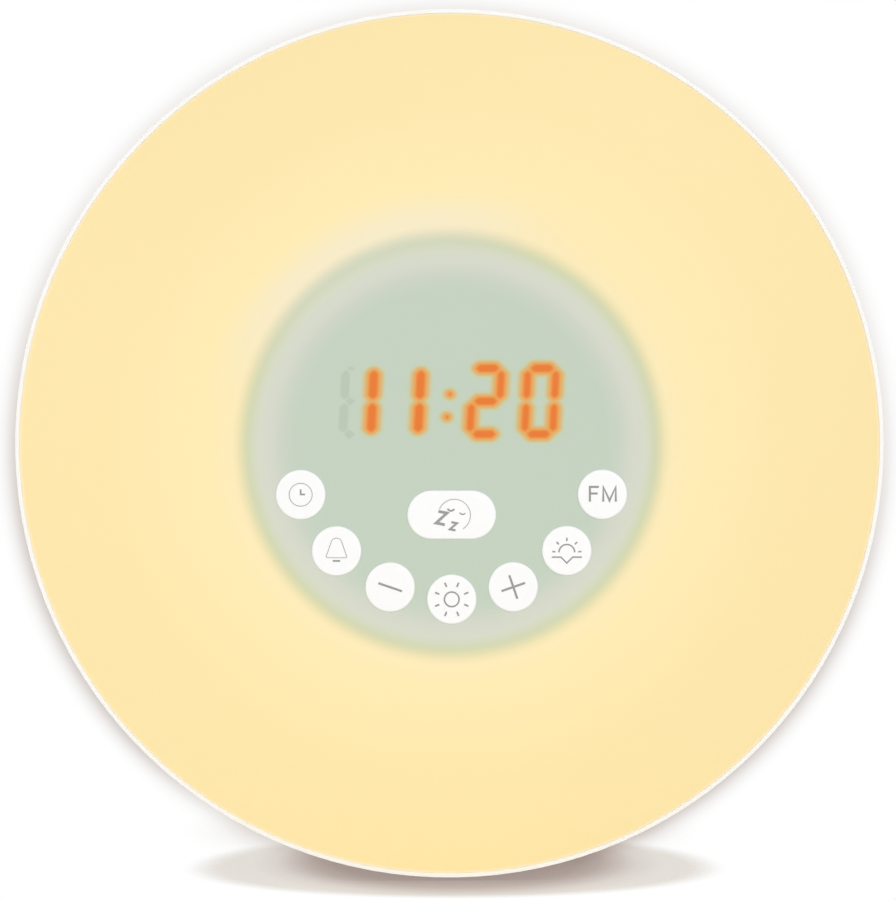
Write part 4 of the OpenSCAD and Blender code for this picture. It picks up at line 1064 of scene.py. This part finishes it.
# The lines of each key's sign, in millimetres from its middle
SIGNS: dict[str, list[Stroke]] = {
    "clock": [
        Stroke(tuple(circle((0, 0), 2.22, 48)), 0.17, True, True),
        line(0.32, (0, 1.05), (0, 0.05), (0.85, 0.05)),
    ],
    "alarm": bell(),
    "minus": [line(0.43, *turned([(-2.42, 0), (2.42, 0)], -19))],
    "lamp": [
        Stroke(tuple(circle((0, 0), 1.42, 40)), 0.3, True),
        *rays((0, 0), 2.6, 3.5, [22.5 + 45 * k for k in range(8)], 0.34),
    ],
    "plus": [
        line(0.43, *turned(ends, 19))
        for ends in ([(-2.42, 0), (2.42, 0)], [(0, 0.21), (0, 2.42)], [(0, -0.21), (0, -2.42)])
    ],
    "sunrise": [
        curve((0, -0.32), 1.52, 0, 180, 0.29),
        *rays((0, -0.32), 2.2, 2.85, (3, 45, 90, 135, 177), 0.3),
        line(0.28, (-2.9, -1.25), (-1.15, -1.25), (0, -2.4), (1.15, -1.25), (2.9, -1.25)),
    ],
    "radio": [
        line(0.42, (-2.45, -1.4), (-2.45, 1.46), (-0.72, 1.46)),
        line(0.4, (-2.25, 0.18), (-0.95, 0.18)),
        line(0.41, (0.15, -1.4), (0.15, 1.42), (1.36, -1.2), (2.57, 1.42), (2.57, -1.4)),
    ],
    "snooze": [
        curve((0.5, -0.1), 3.12, -58, 158, 0.17, True),
        curve((-0.15, 1.5), 0.72, 205, 330, 0.36),
        curve((2.1, 0.7), 0.62, 205, 325, 0.25),
        letter_z((-1.98, -0.62), 1.72, 2.3, 0.54),
        letter_z((0.32, -2.22), 1.1, 1.4, 0.42),
    ],
}


@dataclass
class KeyCap:
    """A push key: its cap, the lip that keeps it in, its stem and its sign.

    Attributes:
        opening: its place in the face.
        edge: rounding of the cap's edge.
        ink: half the thickness of the printed film.
        sink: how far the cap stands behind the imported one's face.
        lip, lip_height: how far the lip reaches past the cap, and its height.
        stem_r, stem_height: radius of the stem, and how far it shows behind the lip.
    """

    opening: Opening
    edge: float = 0.3
    ink: float = 0.02
    sink: float = 0.03
    lip: float = 1.0
    lip_height: float = 1.0
    stem_r: float = 1.9
    stem_height: float = 0.5

    def __post_init__(self) -> None:
        """Take the depths from the frame."""
        low, high = box_mm(f"key_{self.opening.name}")
        self.top_z = -low.y - self.sink
        self.stem_z = -high.y
        self.body = f"{self.opening.name}_key"

    def build(self, cap: Material, inks: dict[bool, Material]) -> None:
        """Make the cap and print its sign.

        Args:
            cap: the cap's material.
            inks: the ink's material, by whether the stroke is pale.
        """
        name, edge = self.opening.name, self.edge
        solid = Solid(f"cap_{name}")
        low = self.stem_z + self.stem_height
        high = low + self.lip_height
        round_stem = circle(self.opening.centre, self.stem_r, steps=64, start=-90)
        stem = [solid.ring(round_stem, z) for z in (self.stem_z, low)]
        solid.cap(stem[0])
        solid.loft(stem)
        steps = [(self.lip, low), (self.lip, high), (0.0, high)]
        for turn in map(math.radians, (0, 22.5, 45, 67.5, 90)):
            steps.append((edge * (math.cos(turn) - 1), self.top_z - edge * (1 - math.sin(turn))))
        steps.append((-2 * edge, self.top_z))
        walls = [solid.ring(self.opening.outline(grow), z) for grow, z in steps]
        solid.skin([walls[0], stem[1]])
        solid.loft(walls)
        solid.cap(walls[-1])
        solid.piece(cap, self.body, "key_white", [f"key_{name}"])
        for pale, ending in ((False, "bold"), (True, "line")):
            strokes = [s for s in SIGNS[name] if s.pale is pale]
            if strokes:
                self.sign(strokes, f"sign_{name}_{ending}").piece(inks[pale], self.body, "housing_grey")

    def sign(self, strokes: Iterable[Stroke], name: str) -> Solid:
        """Print a sign on the cap as a thin film.

        Args:
            strokes: its lines.
            name: the piece's name.

        Returns:
            The film's mesh.
        """
        solid = Solid(name)
        cx, cy = self.opening.centre
        low, high = self.top_z - self.ink, self.top_z + self.ink
        for stroke in strokes:
            sections = []
            for left, right in zip(*stroke.edges()):
                corners = ((left, low), (right, low), (right, high), (left, high))
                sections.append([solid.mesh.verts.new((cx + x, cy + y, z)) for (x, y), z in corners])
            if stroke.closed:
                solid.loft([*sections, sections[0]])
            else:
                solid.loft(sections)
                solid.cap(sections[0])
                solid.cap(sections[-1])
        return solid


# ---------- Room ----------


@dataclass
class Studio:
    """The floor and backdrop with the clock's painted shadows, the lamps, the backdrop's white and the
    camera.

    Attributes:
        distance: the camera's distance from the rim's plane.
        left, above: how far round and how far up it stands, in degrees.
        rim_px, centre_px: the rim's radius and middle in the render.
        render_px: the render's width and height.
        sensor: width of the camera's sensor.
        floor_rings: radii of the floor's rings, from the outermost.
        front_patch, rear_patch: where the floor shows before it fades into the backdrop:
            the middle of an oval, its half width, and its reach forwards and backwards.
        core_patch: the same for the core of the clock's painted shadow.
        front_blur, rear_blur: how softly each patch ends, as a share of its reach.
        shadow_tones: tones of the painted shadow, from its core outwards.
        toned: their share beside the real shadow's.
        halo_z: depth of the painted shadow on the backdrop, in the face frame.
        halo_in, halo_width: how far inside the rim it starts, so that no light shows
            between them, and how far past the rim it reaches.
        halo_fall: its share by distance from the axis.
        halo_takes: how much of the red, green and blue light it takes, which warms it.
        halo_way: the side on which it is darker, which is below and a little to the left.
        halo_depth: two distances along that way, and how dark it is at each.
        halo_clear: the same for its share over the floor's own shadow, where it is weaker.
        ambient: strength of the room's even light.
        softboxes: name, place, side and power in watts of each lamp.
    """

    distance: float = 720.0
    left: float = 1.45
    above: float = 1.65
    rim_px: float = 434.5
    centre_px: Point = (450.8, 444.6)
    render_px: Point = (896.0, 900.0)
    sensor: float = 36.0
    floor_rings: tuple[float, ...] = (700, 480, 240, 120, 60, 0.1)
    front_patch: Oval = (1.4, -16.4, 51.0, 38.6, 50.0)
    rear_patch: Oval = (0.0, 45.0, 42.0, 50.0, 50.0)
    core_patch: Oval = (2.0, -8.0, 42.0, 50.0, 60.0)
    front_blur: float = 0.09
    rear_blur: float = 0.4
    shadow_tones: Tones = (
        (0.0, "#b5a6a0"), (0.45, "#b3a49e"), (0.6, "#b0a29b"), (0.7, "#baaca5"),
        (0.8, "#cdc3bd"), (0.88, "#dcd5cf"), (1.0, "#e4dfd8"),
    )
    toned: float = 0.9
    halo_z: float = 34.0
    halo_in: float = 0.02
    halo_width: float = 5.0
    halo_fall: tuple[Point, ...] = (
        (85.0, 1.0), (85.4, 1.0), (86.1, 0.75), (86.5, 0.62), (87.1, 0.38), (87.7, 0.24), (88.5, 0.09),
        (89.6, 0.0),
    )
    halo_takes: Place = (0.98, 1.12, 1.2)
    halo_way: Place = (-0.17, 0.0, -1.0)
    halo_depth: Fade = (-0.55, 0.5, 0.115, 0.33)
    halo_clear: Fade = (0.8, 1.0, 1.0, 0.45)
    ambient: float = 0.34
    softboxes: tuple[tuple[str, Place, float, float], ...] = (
        ("key_softbox", (600, -1500, 800), 1500, 13.4),
        ("fill_softbox", (-1100, -1400, 100), 1500, 8.85),
        ("top_softbox", (0, 60, 1250), 800, 3),
        ("back_softbox", (-300, 1700, 500), 1500, 9.5),
        ("left_softbox", (-1600, 350, 350), 1200, 3.6),
        ("right_softbox", (1600, 350, 350), 1200, 3.6),
    )

    def build(self) -> None:
        """Make all of it."""
        self.floor()
        self.halo()
        self.world()
        for name, place, size, power in self.softboxes:
            self.lamp(name, place, size, power)
        self.camera()

    def world(self) -> None:
        """Light the room evenly, and show white where nothing stands."""
        world = bpy.data.worlds.new("studio")
        world.use_nodes = True
        bpy.context.scene.world = world
        tree = world.node_tree
        tree.nodes.clear()
        path = add_node(tree, "LightPath")
        seen = path.outputs["Is Camera Ray"]
        for other in ("Is Glossy Ray", "Is Transmission Ray"):
            seen = add_node(tree, "Math", {"operation": "MAXIMUM"}, {0: seen, 1: path.outputs[other]})
        even, white = (
            add_node(tree, "Background", {"Color": linear("#ffffff"), "Strength": strength})
            for strength in (self.ambient, 1.0)
        )
        both = add_node(tree, "MixShader", None, {0: seen, 1: even, 2: white})
        add_node(tree, "OutputWorld", None, {"Surface": both})

    def floor(self) -> None:
        """Lay a white floor that fades into the backdrop, with the clock's shadow painted on it beside the
        real one.
        """
        material, tree = new_tree("studio_floor_white")
        place = add_node(tree, "TexCoord").outputs["Object"]
        edges = [
            add_node(
                tree, "MapRange", {"interpolation_type": "SMOOTHSTEP", "range": (1 - blur, 1 + blur)},
                {"Value": self.oval(tree, place, patch)},
            )
            for patch, blur in ((self.front_patch, self.front_blur), (self.rear_patch, self.rear_blur))
        ]
        outside = add_node(tree, "Math", {"operation": "MULTIPLY"}, {0: edges[0], 1: edges[1]})
        # Painted shadow: tones by the core oval's distance, emitted for camera rays
        stops = [(at, linear(colour)) for at, colour in self.shadow_tones]
        tone = add_node(tree, "ValToRGB", {"stops": stops}, {0: self.oval(tree, place, self.core_patch)})
        path = add_node(tree, "LightPath").outputs["Is Camera Ray"]
        clear = add_node(tree, "Math", {"operation": "MULTIPLY"}, {0: outside, 1: path})
        toned = add_node(tree, "Math", {"operation": "MULTIPLY", 1: self.toned}, {0: path})
        # Matt painted board, slightly warm
        board = {"Base Color": linear("#fffcf8"), "Roughness": 0.8, "Specular IOR Level": 0.1}
        sheet = add_node(tree, "BsdfPrincipled", board)
        paint = add_node(tree, "Emission", None, {"Color": tone})
        lit = add_node(tree, "MixShader", None, {0: toned, 1: sheet, 2: paint})
        backdrop = add_node(tree, "BsdfTransparent")
        both = add_node(tree, "MixShader", None, {0: clear, 1: lit, 2: backdrop})
        add_node(tree, "OutputMaterial", None, {"Surface": both})
        solid = Solid("floor")
        rings = [
            [solid.mesh.verts.new((x * MM, y * MM, 0)) for x, y in circle((0, 0), r, steps=96)]
            for r in self.floor_rings
        ]
        solid.loft(rings)
        solid.cap(rings[-1])
        made = solid.show(material)

    def oval(self, tree: Tree, place: Socket, patch: Oval) -> Socket:
        """Measure how far out a point of the floor lies in an oval patch.

        Args:
            tree: the floor's tree.
            place: the coordinates, in metres.
            patch: its middle, its half width, and how far it reaches forwards and backwards.

        Returns:
            The distance, which is 1 on the patch's edge.
        """
        x, y, half_x, front, rear = patch
        parts = add_node(tree, "SeparateXYZ", None, {0: place})
        sides = [
            add_node(
                tree, "Math", {"operation": "MULTIPLY_ADD", 1: 1 / (reach * MM), 2: -middle / reach},
                {0: parts.outputs[axis]},
            )
            for axis, middle, reach in (("X", x, half_x), ("Y", y, -front), ("Y", y, rear))
        ]
        depth = add_node(tree, "Math", {"operation": "MAXIMUM"}, {0: sides[1], 1: sides[2]})
        flat = add_node(tree, "CombineXYZ", None, {"X": sides[0], "Y": depth})
        return add_node(tree, "VectorMath", {"operation": "LENGTH"}, {0: flat}).outputs["Value"]

    def halo(self) -> None:
        """Hang a see-through ring round the disc whose tint paints its soft shadow on the backdrop."""
        material, tree = new_tree("backdrop_shadow")
        place = add_node(tree, "TexCoord").outputs["Object"]
        rim = {"vector_type": "TEXTURE", "Location": (0.0, 0.0, AXIS_H * MM), "Scale": (RIM_R * MM,) * 3}
        flat = add_node(tree, "Mapping", rim, {"Vector": place})
        middle = (0.0, -self.halo_z / RIM_R, 0.0)
        away, side = (
            add_node(tree, "VectorMath", {"operation": operation, 1: vector}, {0: flat}).outputs["Value"]
            for operation, vector in (("DISTANCE", middle), ("DOT_PRODUCT", self.halo_way))
        )
        depth, clear = (
            add_node(tree, "MapRange", {"interpolation_type": "SMOOTHSTEP", "range": fade}, {"Value": side})
            for fade in (self.halo_depth, self.halo_clear)
        )
        reach = {"range": (1.0, 1 + self.halo_width / RIM_R)}
        outwards = add_node(tree, "MapRange", reach, {"Value": away})
        stops = [((r - RIM_R) / self.halo_width, grey(share)) for r, share in self.halo_fall]
        falloff = add_node(tree, "ValToRGB", {"stops": stops}, {0: outwards})
        share = add_node(tree, "Math", {"operation": "MULTIPLY"}, {0: depth, 1: clear})
        dark = add_node(tree, "Math", {"operation": "MULTIPLY"}, {0: share, 1: falloff})
        takes = tuple(-taken for taken in self.halo_takes)
        rest = {"operation": "MULTIPLY_ADD", 1: takes, 2: (1.0, 1.0, 1.0)}
        level = add_node(tree, "VectorMath", rest, {0: dark})
        veil = add_node(tree, "BsdfTransparent", None, {"Color": level})
        add_node(tree, "OutputMaterial", None, {"Surface": veil})
        solid = Solid("backdrop_shadow")
        solid.loft([
            [solid.mesh.verts.new(to_world(x, y, self.halo_z)) for x, y in circle((0, 0), r, steps=180)]
            for r in (RIM_R + self.halo_width, RIM_R - self.halo_in)
        ])
        made = solid.show(material)
        made.visible_diffuse = made.visible_glossy = made.visible_shadow = made.visible_transmission = False

    def lamp(self, name: str, place: Place, size: float, power: float) -> None:
        """Hang a softbox that points at the clock.

        Args:
            name: its name.
            place: where it hangs, in the row frame's millimetres.
            size: its side.
            power: its power in watts.
        """
        light = bpy.data.lights.new(name, "AREA")
        light.shape, light.size, light.energy = "SQUARE", size * MM, power
        made = add_object(name, light)
        made.location = Vector(place) * MM
        aim = Vector((0, 0, AXIS_H * MM)) - made.location
        made.rotation_euler = aim.to_track_quat("-Z", "Y").to_euler()
        made.visible_camera = False

    def camera(self) -> None:
        """Set up the camera."""
        data = bpy.data.cameras.new("camera")
        longer = max(self.render_px)
        # Pixels that a millimetre takes in the rim's plane, and the lens that gives them
        scale = self.rim_px / RIM_R
        data.sensor_width = self.sensor
        data.lens = scale * self.distance * self.sensor / longer
        left, above = math.radians(self.left), math.radians(self.above)
        level, up = math.cos(above), math.sin(above)
        back = Vector((-math.sin(left) * level, -math.cos(left) * level, up))
        made = add_object("camera", data)
        made.location = to_world(0, 0, -RIM_LOW.y) + back * self.distance * MM
        made.rotation_euler = (-back).to_track_quat("-Z", "Y").to_euler()
        right_px, down_px = (at - size / 2 for at, size in zip(self.centre_px, self.render_px))
        data.shift_x, data.shift_y = -right_px / longer, down_px / longer
        data.clip_start = 0.05
        bpy.context.scene.camera = made


# ---------- Clock ----------


@dataclass
class Clock:
    """The whole clock: what is modelled here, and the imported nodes' finishes.

    Attributes:
        key_lip: how far a packed key's lip reaches past its opening.
    """

    key_lip: float = 1.0

    def openings(self) -> list[Opening]:
        """Find the keys' places.

        Returns:
            An opening for each packed key, in the order of their names.
        """
        found = []
        for name in KEY_NAMES:
            low, high = box_mm(f"key_{name}")
            centre = ((low.x + high.x) / 2, (low.z + high.z) / 2 - AXIS_H)
            size = (high.x - low.x - 2 * self.key_lip, high.z - low.z - 2 * self.key_lip)
            found.append(Opening(name, centre, *size))
        return found

    def build(self) -> None:
        """Make the face and the keys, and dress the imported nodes."""
        openings = self.openings()
        Diffuser(openings).build(OpalAcrylic())
        cap = WHITE_KEY.build()
        inks = {False: SIGN_INK.build(), True: PALE_INK.build()}
        for opening in openings:
            KeyCap(opening).build(cap, inks)
        self.dress()

    def dress(self) -> None:
        """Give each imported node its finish."""
        for finish, nodes in NODE_FINISHES.items():
            material = finish.build()
            for node in nodes:
                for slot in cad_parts[node].material_slots:
                    slot.material = material
                LOG.info("%s: %s", node, finish.name)


def main() -> None:
    """Build the clock and the room round it."""
    logging.basicConfig(level=logging.INFO, format="%(message)s")
    bpy.context.scene.view_settings.view_transform = "Standard"
    Clock().build()
    Studio().build()


if __name__ == "__main__":
    main()
